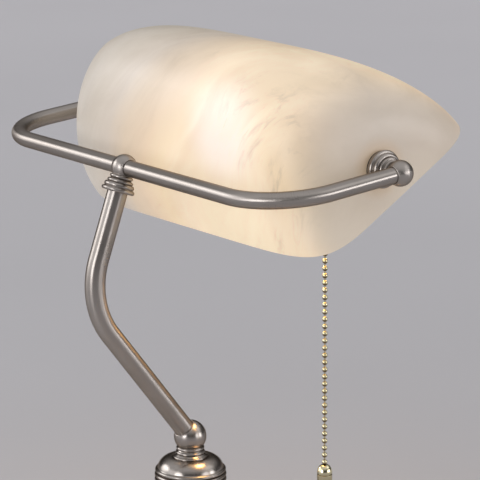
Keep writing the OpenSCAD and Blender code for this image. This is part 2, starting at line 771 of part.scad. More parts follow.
tip_r = 3;
tip_h = 2;
tip_cone_h = 5;
thread_turns = 4;
thread_depth = 0.9;
thread_pitch = (bulb_base_len - tip_cone_h - 1) / (thread_turns + 0.5);
bulb_neck_h = 5;
bulb_neck_flare = 0.6;
bulb_neck_angle = 35;

// the screw base: contact tip, insulating cone and rolled thread
module bulb_base() {
    root_r = bulb_base_r - thread_depth;
    color("silver") at_socket(bulb_start) rotate_extrude() polygon(concat(
        [[0, 0], [tip_r, 0], [tip_r + tip_h, tip_h], [root_r, tip_cone_h]],
        [for (i = [0:thread_turns - 1]) each [
            [root_r, tip_cone_h + 1 + i * thread_pitch],
            [bulb_base_r, tip_cone_h + 1 + (i + 0.5) * thread_pitch]]],
        [[root_r, tip_cone_h + 1 + thread_turns * thread_pitch], [bulb_base_r, bulb_base_len],
            [0, bulb_base_len]]));
}

module bulb_globe() {
    color("white") at_socket(bulb_start) rotate_extrude() polygon(concat(
        [[0, bulb_base_len], [bulb_base_r - bulb_neck_flare, bulb_base_len]],
        [[bulb_base_r + bulb_neck_flare, bulb_base_len + bulb_neck_h]],
        arc(0, bulb_len - bulb_r, bulb_r, bulb_neck_angle - 90, 90, 24)));
}

// ---- chain ----
module toggle_pin_axis() { outlet_axis() translate([0, 0, outlet_reach - bead_d / 2]) children(); }

toggle_d = 1.6;

module chain_toggle() {
    color("gold") toggle_pin_axis() {
        sphere(d = bead_d, $fn = 32);
        translate([0, 0, -toggle_len]) cylinder(d = toggle_d, h = toggle_len, $fn = 24);
    }
}

chain_top_y = (outlet_reach - bead_d / 2) * sin(outlet_lean);
chain_top_z = -(outlet_reach - bead_d / 2) * cos(outlet_lean);

// the hanging chain: beads on short links below the toggle's bead
module bead_chain() {
    color("gold") at_pivot() translate([outlet_x, chain_top_y, chain_top_z]) {
        for (i = [1:bead_count]) translate([0, 0, -i * bead_pitch]) sphere(d = bead_d, $fn = 32);
        translate([0, 0, -bead_count * bead_pitch])
            cylinder(d = link_d, h = bead_count * bead_pitch - bead_d / 2 - 0.05, $fn = 16);
    }
}

pull_eye_r = 1.4;
pull_groove_in = 0.6;
pull_groove_h = 1;

// domed cap, groove, drop-shaped body; the chain's last bead sits on its top
module chain_pull() {
    r = pull_d / 2;
    top = -bead_d / 2;
    cap_low = top - pull_cap_h;
    body_top = cap_low - pull_groove_h;
    color("goldenrod") at_pivot()
        translate([outlet_x, chain_top_y, chain_top_z - bead_count * bead_pitch]) rotate_extrude()
        polygon(concat(
            [[0, top]],
            ellipse_arc(pull_eye_r, cap_low, r - pull_eye_r, pull_cap_h, 90, 0, 12),
            [[r - pull_groove_in, cap_low], [r - pull_groove_in, body_top]],
            ellipse_arc(0, body_top, r, pull_len - pull_cap_h - pull_groove_h, 0, -90, 20)));
}

// ---- wiring held inside the tubes ----
lead_low_z = pad_t + lead_d / 2 + loose;
lead_start_y = bushing_start_y - loose;
lead_step_y = weight_well_r + 10;
lead_joint_d = lead_d + 0.3;
lead_in_body = 2;

module inner_lead() {
    slope = atan2(inlet_z - lead_low_z, lead_start_y - lead_step_y);
    run = norm([inlet_z - lead_low_z, lead_start_y - lead_step_y]);
    color("#5a3a1e") {
        translate([0, lead_step_y, lead_low_z]) rotate([slope - 90, 0, 0]) cylinder(d = lead_d, h = run);
        translate([0, lead_step_y, lead_low_z]) sphere(d = lead_joint_d);
        translate([0, lead_step_y, lead_low_z]) rotate([90, 0, 0]) cylinder(d = lead_d, h = lead_step_y);
        translate([0, 0, lead_low_z]) sphere(d = lead_joint_d);
        translate([0, 0, lead_low_z]) cylinder(d = lead_d, h = knuckle_z - lead_low_z);
        at_knuckle() sphere(d = lead_joint_d);
        stem_run(lead_d, 0, 0, 0);
        at_tee() sphere(d = lead_joint_d);
        yoke_run(lead_d, 0, [-1]);
        in_yoke() translate([-yoke_half, arm_seat - yoke_arm, 0]) rotate([90, 0, 0])
            cylinder(d = lead_d, h = arm_seat);
        on_pivot(-1, yoke_half) sphere(d = lead_joint_d);
        on_pivot(-1, yoke_half) cylinder(d = lead_d, h = yoke_half - cap_x + body_start + lead_in_body);
    }
}

felt_pad();
base_weight();
foot_shell();
cord_bushing();
column();
column_cap();
central_rod();
base_washer();
base_nut();
knuckle_fitting();
stem_tube();
tee_fitting();
tee_set_screws();
yoke_tube();
end_fitting(-1);  // end_fitting_near
end_fitting(1);  // end_fitting_far
pivot_nipple(-1, nipple_end_near);  // pivot_nipple_near
pivot_nipple(1, nipple_end_far);  // pivot_nipple_far
outer_washer(-1);  // outer_washer_near
outer_washer(1);  // outer_washer_far
inner_washer(-1);  // inner_washer_near
inner_washer(1);  // inner_washer_far
pivot_nut(-1);  // pivot_nut_near
pivot_nut(1);  // pivot_nut_far
shade_glass();
grommet(-1);  // grommet_near
grommet(1);  // grommet_far
socket_cap();
socket_shell();
socket_liner();
socket_body();
screw_shell();
centre_contact();
chain_outlet();
bulb_base();
bulb_globe();
chain_toggle();
bead_chain();
chain_pull();
inner_lead();
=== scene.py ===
"""Banker desk lamp: the dressed model, its finishes and the studio round it.

Metres, +Z up. X runs along the yoke's bar, the user sits on the -Y side, and the socket is at the -X end.
"""
import json
import logging
from dataclasses import dataclass, field, replace
from enum import Enum
from functools import cache
from math import acos, asin, copysign, cos, degrees, hypot, pi, radians, sin, sqrt, tan, tau
from typing import Callable, Iterable, Sequence

import bmesh
import bpy
from bpy.types import ID, Material, Mesh, Node, NodeSocket as Wire, NodeTree, Object
from mathutils import Matrix, Vector


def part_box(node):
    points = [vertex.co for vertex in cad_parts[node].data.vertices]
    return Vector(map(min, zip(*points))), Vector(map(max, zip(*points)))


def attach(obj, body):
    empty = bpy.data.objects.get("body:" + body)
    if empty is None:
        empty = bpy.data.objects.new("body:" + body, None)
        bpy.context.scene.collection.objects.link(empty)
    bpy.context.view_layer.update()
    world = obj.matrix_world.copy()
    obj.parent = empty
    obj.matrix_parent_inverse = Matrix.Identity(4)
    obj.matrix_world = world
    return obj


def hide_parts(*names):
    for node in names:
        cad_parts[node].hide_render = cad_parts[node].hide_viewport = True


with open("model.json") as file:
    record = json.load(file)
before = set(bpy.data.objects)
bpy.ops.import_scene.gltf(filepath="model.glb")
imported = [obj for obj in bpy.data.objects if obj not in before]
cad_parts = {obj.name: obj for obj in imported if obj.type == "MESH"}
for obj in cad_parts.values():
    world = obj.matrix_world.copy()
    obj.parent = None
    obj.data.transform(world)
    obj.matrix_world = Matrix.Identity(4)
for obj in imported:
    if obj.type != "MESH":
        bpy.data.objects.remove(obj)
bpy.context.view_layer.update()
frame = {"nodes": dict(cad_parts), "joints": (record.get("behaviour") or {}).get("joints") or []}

LOG = logging.getLogger("lamp")
MM = 0.001
ALONG_BAR = Vector((1, 0, 0))
UPWARD = Vector((0, 0, 1))
NOISE_RUN = (0.3, 0.7)  # nearly all values of a noise lie between these
TUBE_ROUND = 3.0  # the noise's scale round a tube, where the whole way round is 1

Colour = tuple[float, float, float]
Place = tuple[float, float, float]
Profile = Sequence[tuple[float, float]]


# ---- the frame's own facts


def joint_place(name: str) -> Vector:
    """Place of a joint at rest, by the joint's name."""
    return Vector(next(joint for joint in frame["joints"] if joint["name"] == name)["pos_m"])


def low(node: str) -> Vector:
    """Lowest corner of a CAD node's box."""
    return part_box(node)[0]


def high(node: str) -> Vector:
    """Highest corner of a CAD node's box."""
    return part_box(node)[1]


def half_size(node: str, axis: int) -> float:
    """Half of a CAD node's size along an axis: 0 for X, 1 for Y, 2 for Z."""
    return (high(node)[axis] - low(node)[axis]) / 2


PIVOT = joint_place("shade_tilt")
YOKE_R = 4.75 * MM
TEE_LEAN = radians(20)
TEE = Vector((0, high("yoke_tube").y - YOKE_R, low("yoke_tube").z + YOKE_R))
GLOBE_R = half_size("bulb_globe", 2)
GLOBE = Vector((high("bulb_globe").x - GLOBE_R, PIVOT.y, PIVOT.z))


class Body(Enum):
    """The rigid bodies that the built pieces ride on."""

    STAND = "lamp_stand"
    SHADE = "shade"
    CHAIN = "hanging_chain"


class Slot(Enum):
    """The record's material slots."""

    FELT = "felt"
    CAST_IRON = "cast_iron"
    NICKEL = "satin_nickel"
    BRASS = "brass"
    CHAIN_BRASS = "chain_brass"
    SOCKET_BRASS = "socket_brass"
    STEEL = "steel"
    SCREW_STEEL = "screw_steel"
    GLASS = "alabaster_glass"
    RUBBER = "rubber"
    PHENOLIC = "phenolic"
    LINER_CARD = "liner_card"
    CONTACT_BRASS = "contact_brass"
    BULB_METAL = "bulb_metal"
    BULB_GLASS = "bulb_glass"
    LEAD_COVER = "lead_cover"


class Lay(Enum):
    """How a finish's grain lies on a piece: the axis that its fine lines run round."""

    UPRIGHT = "z"
    ALONG_X = "x"
    TEE = "tee"
    TUBE = "tube"


# ---- material graphs


@dataclass(frozen=True)
class Grain:
    """A noise's look: its scale to the metre, detail, roughness, twist and stretch."""

    scale: float
    detail: float = 3.0
    rough: float = 0.5
    twist: float = 0.0
    stretch: Place | None = None


@dataclass(frozen=True)
class Band:
    """A change from one value to another while something runs from start to end."""

    start: float
    end: float
    first: float = 0.0
    last: float = 1.0
    smooth: bool = True


class Graph:
    """A tree of shader nodes, built by short calls."""

    def __init__(self, tree: NodeTree) -> None:
        """Take the nodes of a material or of the room."""
        self.tree = tree

    def add(self, kind: str, inputs: dict | None = None, **settings: object) -> Node:
        """Add a node.

        Args:
            kind: the node's type, without the ShaderNode prefix.
            inputs: values or sockets for its inputs, by name or number.
            settings: the node's own properties.

        Returns:
            The new node.
        """
        node = self.tree.nodes.new("ShaderNode" + kind)
        for key, value in settings.items():
            setattr(node, key, value)
        for key, value in (inputs or {}).items():
            self.feed(node.inputs[key], value)
        return node

    def feed(self, socket: Wire, value: object) -> None:
        """Link a socket, or set it where the value is a plain one."""
        if isinstance(value, Wire):
            self.tree.links.new(value, socket)
        else:
            socket.default_value = value

    def sum(self, a: object, b: object, how: str = "ADD") -> Wire:
        """Arithmetic on two values; returns the result's socket."""
        return self.add("Math", {0: a, 1: b}, operation=how).outputs[0]

    def times(self, a: object, b: object) -> Wire:
        """Product of two values; returns its socket."""
        return self.sum(a, b, "MULTIPLY")

    def vector(self, a: object, b: object, how: str) -> Wire:
        """Arithmetic on two vectors; returns the vector's socket."""
        return self.add("VectorMath", {0: a, 1: b}, operation=how).outputs[0]

    def measure(self, a: object, b: object = (0.0, 0.0, 0.0), how: str = "DISTANCE") -> Wire:
        """Distance of two places, or another number from two vectors; returns its socket."""
        return self.add("VectorMath", {0: a, 1: b}, operation=how).outputs["Value"]

    def part(self, vector: Wire, axis: str) -> Wire:
        """One part of a vector, X, Y or Z; returns its socket."""
        return self.add("SeparateXYZ", {0: vector}).outputs[axis]

    def map(self, where: Wire, **inputs: object) -> Wire:
        """Turn or scale coordinates, by a Mapping node's inputs; returns their socket."""
        return self.add("Mapping", {"Vector": where, **inputs}).outputs[0]

    def span(self, value: Wire, band: Band) -> Wire:
        """Follow a band, clamped at its ends; returns the result's socket."""
        ends = {0: value, 1: band.start, 2: band.end, 3: band.first, 4: band.last}
        way = "SMOOTHSTEP" if band.smooth else "LINEAR"
        return self.add("MapRange", ends, clamp=True, interpolation_type=way).outputs[0]

    def spread(self, noise: Wire, first: float = 0.0, last: float = 1.0) -> Wire:
        """Spread the usual run of a noise between two values; returns the result's socket."""
        return self.span(noise, Band(*NOISE_RUN, first, last, False))

    def about(self, noise: Wire, middle: float, run: float) -> Wire:
        """Let a noise move a value by a run to either side; returns the result's socket."""
        return self.spread(noise, middle - run, middle + run)


class Finish(Graph):
    """A material's nodes round one Principled shader."""

    def __init__(self, name: str) -> None:
        """Start an empty material.

        Args:
            name: the finish's name.
        """
        self.material = bpy.data.materials.new(name)
        self.material.use_nodes = True
        super().__init__(self.material.node_tree)
        self.shader = self.tree.nodes["Principled BSDF"]

    def dress(self, **inputs: object) -> None:
        """Feed the shader's inputs; an underscore in a name stands for a space."""
        for key, value in inputs.items():
            self.feed(self.shader.inputs[key.replace("_", " ")], opaque(value))

    def place(self, lay: Lay | None = None, scale: Sequence[float] = (1, 1, 1)) -> Wire:
        """Coordinates on the piece, or round and along it for Lay.TUBE; returns their socket."""
        out = self.add("TexCoord").outputs["UV" if lay is Lay.TUBE else "Object"]
        return self.map(out, Scale=tuple(scale))

    def lathe(self, lay: Lay, scale: float) -> Wire:
        """Coordinates of lines cut on a lathe, the same all round the piece's axis.

        Args:
            lay: the axis that the lines run round.
            scale: lines to the metre.

        Returns:
            The coordinates' socket.
        """
        if lay is Lay.TUBE:
            return self.place(lay, (TUBE_ROUND, scale, 1.0))
        middle = {Lay.UPRIGHT: (0.0, 0.0, 0.0), Lay.ALONG_X: tuple(PIVOT), Lay.TEE: tuple(TEE)}[lay]
        moved = self.vector(self.place(), middle, "SUBTRACT")
        turned = self.map(moved, Rotation=(-TEE_LEAN if lay is Lay.TEE else 0.0, 0.0, 0.0))
        across = (0.0, scale, scale) if lay is Lay.ALONG_X else (scale, scale, 0.0)
        radius = self.measure(self.vector(turned, across, "MULTIPLY"), how="LENGTH")
        along = self.part(turned, "X" if lay is Lay.ALONG_X else "Z")
        return self.add("CombineXYZ", {0: radius, 1: self.times(along, scale)}).outputs[0]

    def noise(self, where: Wire, grain: Grain, output: int = 0) -> Wire:
        """Noise in 3-D.

        Args:
            where: the coordinates' socket.
            grain: the noise's look.
            output: 0 for its value, 1 for its colour.

        Returns:
            The output's socket.
        """
        if grain.stretch:
            where = self.map(where, Scale=grain.stretch)
        look = {"Vector": where, "Scale": grain.scale, "Detail": grain.detail, "Roughness": grain.rough,
                "Distortion": grain.twist}
        return self.add("TexNoise", look).outputs[output]

    def ramp(self, value: Wire, stops: Sequence[tuple[float, Colour]]) -> Wire:
        """Colour ramp.

        Args:
            value: the socket it reads.
            stops: places and colours, in order.

        Returns:
            The colour socket.
        """
        node = self.add("ValToRGB", {"Fac": value})
        marks = node.color_ramp.elements
        while len(marks) < len(stops):
            marks.new(0.5)
        for mark, (at, colour) in zip(marks, stops):
            mark.position, mark.color = at, opaque(colour)
        return node.outputs[0]

    def mix(self, share: object, a: object, b: object, how: str = "MIX") -> Wire:
        """Mix two colours; returns the colour socket."""
        node = self.add("Mix", data_type="RGBA", blend_type=how)
        for socket, value in ((node.inputs[0], share), (node.inputs[6], a), (node.inputs[7], b)):
            self.feed(socket, opaque(value))
        return node.outputs[2]

    def bump(self, height: Wire, strength: float, depth: float) -> Wire:
        """Bump from a height; returns the normal's socket."""
        return self.add("Bump", {"Height": height, "Strength": strength, "Distance": depth}).outputs[0]

    def grain_way(self, lay: Lay) -> Wire:
        """Direction of a brushed finish's lines; returns its socket."""
        if lay is Lay.TUBE:
            return self.add("Tangent", direction_type="UV_MAP", uv_map="grain").outputs[0]
        axis = "X" if lay is Lay.ALONG_X else "Z"
        return self.add("Tangent", direction_type="RADIAL", axis=axis).outputs[0]


def opaque(value: object) -> object:
    """A colour with its alpha of 1; anything else as it is."""
    return (*value, 1.0) if isinstance(value, tuple) and len(value) == 3 else value


@dataclass(frozen=True)
class BrushedMetal:
    """Metal with fine lines run round it, faint cloudiness, a little wear in its polish and, where asked,
    painted shade that darkens it towards the bottom.
    """

    name: str
    colour: Colour
    dark: Colour
    roughness: float
    unevenness: float
    line_scale: float = 2600.0
    line_share: float = 0.16
    line_depth: float = 0.04 * MM
    lines: Grain = Grain(1.0, 2.0, 0.6)
    clouds: Grain = Grain(26.0, 4.0, 0.55, 0.4)
    specks: Grain = Grain(900.0, 2.0)
    speck_share: float = 0.3
    relief: float = 0.35
    edge_tint: Colour = (1.0, 1.0, 1.0)
    brushing: float = 0.0
    brushing_turn: float = 0.25
    # Painted shade: where asked, the metal darkens on faces that point downwards.
    shaded_underside: bool = False
    underside_shade: Colour = (0.12, 0.07, 0.015)
    underside_shade_band: Band = Band(-0.6, 0.35, 1.0, 0.0)

    def build(self, lay: Lay) -> Material:
        """Build the metal.

        Args:
            lay: the axis that the lines run round.

        Returns:
            The material.
        """
        g = Finish(self.name)
        lines = g.noise(g.lathe(lay, self.line_scale), self.lines)
        clouds = g.noise(g.place(), self.clouds)
        tone = g.mix(g.spread(clouds), self.dark, self.colour)
        tone = g.mix(g.spread(lines, 0.0, self.line_share), tone, self.dark)
        # Painted shade: darker towards the bottom, by which way each face points.
        if self.shaded_underside:
            up = g.part(g.add("NewGeometry").outputs["Normal"], "Z")
            tone = g.mix(g.span(up, self.underside_shade_band), tone, self.underside_shade)
        rough = g.sum(g.about(clouds, self.roughness, self.unevenness / 2),
                      g.about(lines, 0.0, self.unevenness / 3))
        height = g.sum(lines, g.times(g.noise(g.place(), self.specks), self.speck_share))
        g.dress(Base_Color=tone, Metallic=1.0, Roughness=rough, Specular_Tint=self.edge_tint,
                Anisotropic=self.brushing, Anisotropic_Rotation=self.brushing_turn,
                Normal=g.bump(height, self.relief, self.line_depth))
        if self.brushing:
            g.dress(Tangent=g.grain_way(lay))
        return g.material


@dataclass(frozen=True)
class GlowSpot:
    """A brighter spot of a lit glass: its place from the bulb's middle, its reach and its light."""

    place: Place
    reach: Band
    light: Colour


@dataclass
class Veins:
    """The veins of a glass: each kind's share from 0 to 1, and the noise under the broad ones."""

    smoke: Wire
    threads: Wire
    wisps: Wire
    clouds: Wire


@dataclass(frozen=True)
class AlabasterGlass:
    """Cased cream glass with wispy veins, and a painted glow (emission) that stands in for the bulb's light
    through it.

    The glow is the same on the front and the back. Bands that run along the shade go by its X.
    """

    name: str = "alabaster glass"
    cream: Colour = (0.50, 0.44, 0.385)
    pale: Colour = (0.56, 0.51, 0.465)
    vein: Colour = (0.36, 0.31, 0.25)
    roughness: float = 0.42
    roughness_run: float = 0.05
    skin: Grain = Grain(240.0)
    skin_share: float = 0.5
    cloud_share: float = 2.0
    relief: float = 0.25
    depth: float = 0.3 * MM
    coat: float = 0.12
    coat_roughness: float = 0.3
    lean: float = radians(37)
    sway: Grain = Grain(8.0, 2.0)
    sway_reach: Place = (0.07, 0.05, 0.07)
    clouds: Grain = Grain(26.0, 5.0, 0.55, 0.4, (1.0, 0.6, 0.22))
    threads: Grain = Grain(170.0, 7.0, 0.62, 0.5, (1.0, 0.6, 0.09))
    wisps: Grain = Grain(80.0, 9.0, 0.68, 1.0, (1.0, 0.7, 0.3))
    thread_places: Grain = Grain(14.0, 2.0)
    smoke_from: Band = Band(0.40, 0.66)
    threads_from: Band = Band(0.50, 0.68)
    wisps_from: Band = Band(0.50, 0.72)
    places_from: Band = Band(0.44, 0.62)
    clear_end: Band = Band(-121 * MM, -96 * MM, 0.1, 1.0)
    smoky_end: Band = Band(0.0, 1.0, 0.45, 1.0, False)
    veined_end: Band = Band(-62 * MM, -46 * MM, 1.0, 0.3)
    thread_tint: float = 0.28
    wisp_tint: float = 0.16
    thread_veil: float = 0.25
    smoke_veil: float = 0.10
    # Painted shade: a warm, darker tint on the glass round the pivot washers.
    clamped: Band = Band(10 * MM, 20 * MM)
    washer_shade_tint: Colour = (1.0, 0.88, 0.76)
    # Painted glow: a pool and brighter spots, measured from the bulb's middle.
    pool: Place = (-36 * MM, 32 * MM, -35 * MM)
    pool_reach: Band = Band(31 * MM, 147 * MM, smooth=False)
    pool_wander: float = 14 * MM
    glow: tuple[tuple[float, Colour], ...] = (
        (0.00, (0.64, 0.51, 0.31)), (0.08, (0.64, 0.49, 0.30)), (0.15, (0.62, 0.48, 0.30)),
        (0.22, (0.59, 0.44, 0.26)), (0.29, (0.54, 0.39, 0.20)), (0.38, (0.44, 0.305, 0.145)),
        (0.47, (0.365, 0.245, 0.118)), (0.59, (0.30, 0.21, 0.105)), (0.72, (0.21, 0.17, 0.12)),
        (0.86, (0.195, 0.17, 0.125)), (1.00, (0.16, 0.146, 0.112)))
    spots: tuple[GlowSpot, ...] = (
        GlowSpot((-50 * MM, 34 * MM, 51 * MM), Band(21 * MM, 62 * MM, 1.0, 0.0), (0.19, 0.165, 0.115)),
        GlowSpot((-40 * MM, 60 * MM, 18 * MM), Band(8 * MM, 38 * MM, 1.0, 0.0), (0.08, 0.13, 0.24)))
    # Painted shade of the glow at the socket's end: dimmer and cooler.
    dim_end: Band = Band(-121 * MM, -106 * MM, 0.74, 1.0)
    cool_end: Band = Band(-121 * MM, -98 * MM, 1.0, 0.0)
    cool: Colour = (0.62, 0.70, 0.92)
    inside: Colour = (1.0, 0.66, 0.33)
    inside_power: Band = Band(40 * MM, 115 * MM, 1.35, 0.405, False)
    inside_from: Band = Band(1.04, 1.05, smooth=False)

    def build(self) -> Material:
        """Build the glass; returns the material."""
        g = Finish(self.name)
        place = g.place()
        veins = self.veins(g, place)
        light, shine = self.glow_of(g, place, veins)
        tone = g.mix(veins.smoke, self.pale, self.cream)
        for kind, tint in ((veins.threads, self.thread_tint), (veins.wisps, self.wisp_tint)):
            tone = g.mix(g.times(kind, tint), tone, self.vein)
        # Painted shade: the glass round the pivot washers is tinted warmer and darker.
        from_axis = g.vector(g.vector(place, tuple(PIVOT), "SUBTRACT"), (0.0, 1.0, 1.0), "MULTIPLY")
        clamped = g.span(g.measure(from_axis, how="LENGTH"), self.clamped)
        tone = g.mix(clamped, g.mix(1.0, tone, self.washer_shade_tint, "MULTIPLY"), tone)
        skin = g.noise(place, self.skin)
        rough = g.about(skin, self.roughness, self.roughness_run)
        height = g.sum(g.times(skin, self.skin_share), g.times(veins.clouds, self.cloud_share))
        g.dress(Base_Color=tone, Roughness=rough,
                Coat_Weight=self.coat, Coat_Roughness=self.coat_roughness,
                Emission_Color=light, Emission_Strength=shine, Normal=g.bump(height, self.relief, self.depth))
        g.material.cycles.emission_sampling = "NONE"
        return g.material

    def veins(self, g: Finish, place: Wire) -> Veins:
        """Veins that lean along the shade and sway, most of them at the socket's end.

        Args:
            g: the glass's nodes.
            place: the coordinates' socket.

        Returns:
            The veins.
        """
        bent = g.vector(g.noise(place, self.sway, 1), self.sway_reach, "MULTIPLY")
        streak = g.map(g.vector(place, bent, "ADD"), Rotation=(0.0, self.lean, 0.0))
        along = g.part(place, "X")
        clear, veined = g.span(along, self.clear_end), g.span(along, self.veined_end)
        clouds = g.noise(streak, self.clouds)
        threads = g.times(g.span(g.noise(streak, self.threads), self.threads_from),
                          g.span(g.noise(place, self.thread_places), self.places_from))
        wisps = g.span(g.noise(streak, self.wisps), self.wisps_from)
        smoke = g.times(g.span(clouds, self.smoke_from), g.span(clear, self.smoky_end))
        threads, wisps = (g.times(g.times(kind, clear), veined) for kind in (threads, wisps))
        return Veins(smoke, threads, wisps, clouds)

    def glow_of(self, g: Finish, place: Wire, veins: Veins) -> tuple[Wire, Wire]:
        """Painted glow (emission) of the outer face, dimmer and cooler at the socket's end, and the warmer
        painted glow of the inner face.

        Args:
            g: the glass's nodes.
            place: the coordinates' socket.
            veins: the glass's veins.

        Returns:
            The sockets of the light's colour and of its strength.
        """
        # Painted glow by distance from the bulb, standing in for its light through the glass.
        off = g.vector(place, tuple(GLOBE), "SUBTRACT")
        beside = g.sum(g.part(off, "Y"), 0.0, "ABSOLUTE")
        folded = g.add("CombineXYZ", {0: g.part(off, "X"), 1: beside, 2: g.part(off, "Z")}).outputs[0]
        wander = g.times(g.sum(veins.clouds, 0.5, "SUBTRACT"), self.pool_wander)
        light = g.ramp(g.span(g.sum(g.measure(folded, self.pool), wander), self.pool_reach), self.glow)
        for spot in self.spots:
            light = g.mix(g.span(g.measure(folded, spot.place), spot.reach), light, spot.light, "ADD")
        along = g.part(place, "X")
        light = g.mix(g.span(along, self.cool_end), light, g.mix(1.0, light, self.cool, "MULTIPLY"))
        veil = g.sum(g.times(veins.threads, self.thread_veil),
                     g.times(g.sum(veins.smoke, veins.wisps), self.smoke_veil))
        shine = g.times(g.sum(1.0, veil, "SUBTRACT"), g.span(along, self.dim_end))
        within = g.span(g.part(g.place(Lay.TUBE), "Y"), self.inside_from)
        lit = g.span(g.measure(place, tuple(GLOBE)), self.inside_power)
        shine = g.sum(g.times(shine, g.sum(1.0, within, "SUBTRACT")), g.times(lit, within))
        return g.mix(within, light, self.inside), shine


@dataclass(frozen=True)
class PressedFelt:
    """Dense dull felt with short fibres."""

    name: str = "pressed felt"
    colour: Colour = (0.030, 0.040, 0.034)
    light: Colour = (0.060, 0.074, 0.064)
    fibres: Grain = Grain(1400.0, 6.0, 0.7, 1.5)
    tufts: Grain = Grain(160.0)
    roughness: float = 0.95
    relief: float = 0.8
    depth: float = 0.4 * MM

    def build(self) -> Material:
        """Build the felt; returns the material."""
        g = Finish(self.name)
        place = g.place()
        fibres = g.noise(place, self.fibres)
        tone = g.mix(g.times(fibres, g.noise(place, self.tufts)), self.colour, self.light)
        g.dress(Base_Color=tone, Roughness=self.roughness, Sheen_Weight=0.3, Sheen_Roughness=0.6,
                Normal=g.bump(fibres, self.relief, self.depth))
        return g.material


@dataclass(frozen=True)
class SandCast:
    """Rough casting under dark paint."""

    name: str = "painted casting"
    colour: Colour = (0.022, 0.022, 0.024)
    worn: Colour = (0.060, 0.058, 0.056)
    sand: Grain = Grain(420.0, 6.0, 0.65)
    lumps: Grain = Grain(60.0, 4.0)
    worn_from: Band = Band(0.4, 0.75, smooth=False)
    roughness: tuple[float, float] = (0.5, 0.75)
    relief: float = 0.7
    depth: float = 0.6 * MM

    def build(self) -> Material:
        """Build the casting; returns the material."""
        g = Finish(self.name)
        place = g.place()
        sand, lumps = g.noise(place, self.sand), g.noise(place, self.lumps)
        g.dress(Base_Color=g.mix(g.span(sand, self.worn_from), self.colour, self.worn),
                Roughness=g.spread(lumps, *self.roughness),
                Normal=g.bump(g.sum(sand, lumps), self.relief, self.depth))
        return g.material


@dataclass(frozen=True)
class Moulded:
    """A moulded or pressed dull stuff: rubber, phenolic, card or a lead's covering."""

    name: str
    colour: Colour
    light: Colour
    roughness: float
    skin_scale: float
    depth: float = 0.12 * MM
    fibre: float = 1.0
    bloom: Grain = Grain(45.0)
    bloom_from: Band = Band(0.35, 0.7, 0.0, 0.7, False)
    skin_from: Band = Band(0.45, 0.8, 0.0, 0.5, False)
    roughness_run: float = 0.08
    relief: float = 0.5

    def build(self) -> Material:
        """Build the moulded stuff; returns the material."""
        g = Finish(self.name)
        skin = g.noise(g.place(), Grain(self.skin_scale, 5.0, 0.6, 0.0, (1.0, 1.0, self.fibre)))
        bloom = g.noise(g.place(), self.bloom)
        tone = g.mix(g.span(bloom, self.bloom_from), self.colour, self.light)
        tone = g.mix(g.span(skin, self.skin_from), tone, self.light)
        rough = g.about(bloom, self.roughness, self.roughness_run)
        g.dress(Base_Color=tone, Roughness=rough, Normal=g.bump(skin, self.relief, self.depth))
        return g.material


@dataclass(frozen=True)
class FrostedBulb:
    """Soft white coated bulb glass, lit, strongest at the middle of its globe."""

    name: str = "coated bulb glass"
    colour: Colour = (0.90, 0.86, 0.78)
    worn: Colour = (0.86, 0.80, 0.70)
    coat: Grain = Grain(700.0, 4.0, 0.6)
    light: Colour = (1.0, 0.74, 0.44)
    power: Band = Band(23 * MM, 52 * MM, 2.3, 0.575, False)
    roughness: tuple[float, float] = (0.3, 0.4)
    relief: float = 0.15
    depth: float = 0.1 * MM

    def build(self) -> Material:
        """Build the lit glass; returns the material."""
        g = Finish(self.name)
        place = g.place()
        coat = g.noise(place, self.coat)
        g.dress(Base_Color=g.mix(g.spread(coat), self.colour, self.worn),
                Roughness=g.spread(coat, *self.roughness), Normal=g.bump(coat, self.relief, self.depth),
                Emission_Color=self.light,
                Emission_Strength=g.span(g.measure(place, tuple(GLOBE)), self.power))
        return g.material


@dataclass(frozen=True)
class PaleFloor:
    """Pale matt studio floor with painted light, a little paler far from the lamp than near it, and a trace
    of unevenness.
    """

    name: str = "pale floor"
    colour: Colour = (0.590, 0.585, 0.604)
    # Painted light: the floor's colour far from the lamp, paler than near it.
    far: Colour = (0.735, 0.724, 0.748)
    lit_far_band: Band = Band(0.3, 2.2, smooth=False)
    drift: Grain = Grain(0.8)
    drift_dark: Band = Band(0.35, 0.65, 0.0, 0.06, False)

    def build(self) -> Material:
        """Build the floor's finish; returns the material."""
        g = Finish(self.name)
        place = g.place()
        # Painted light: the floor grows paler with distance from the lamp.
        tone = g.mix(g.span(g.measure(place, how="LENGTH"), self.lit_far_band), self.colour, self.far)
        tone = g.mix(g.span(g.noise(place, self.drift), self.drift_dark), tone, (0.0, 0.0, 0.0))
        g.dress(Base_Color=tone, Roughness=0.9, Specular_IOR_Level=0.2)
        return g.material


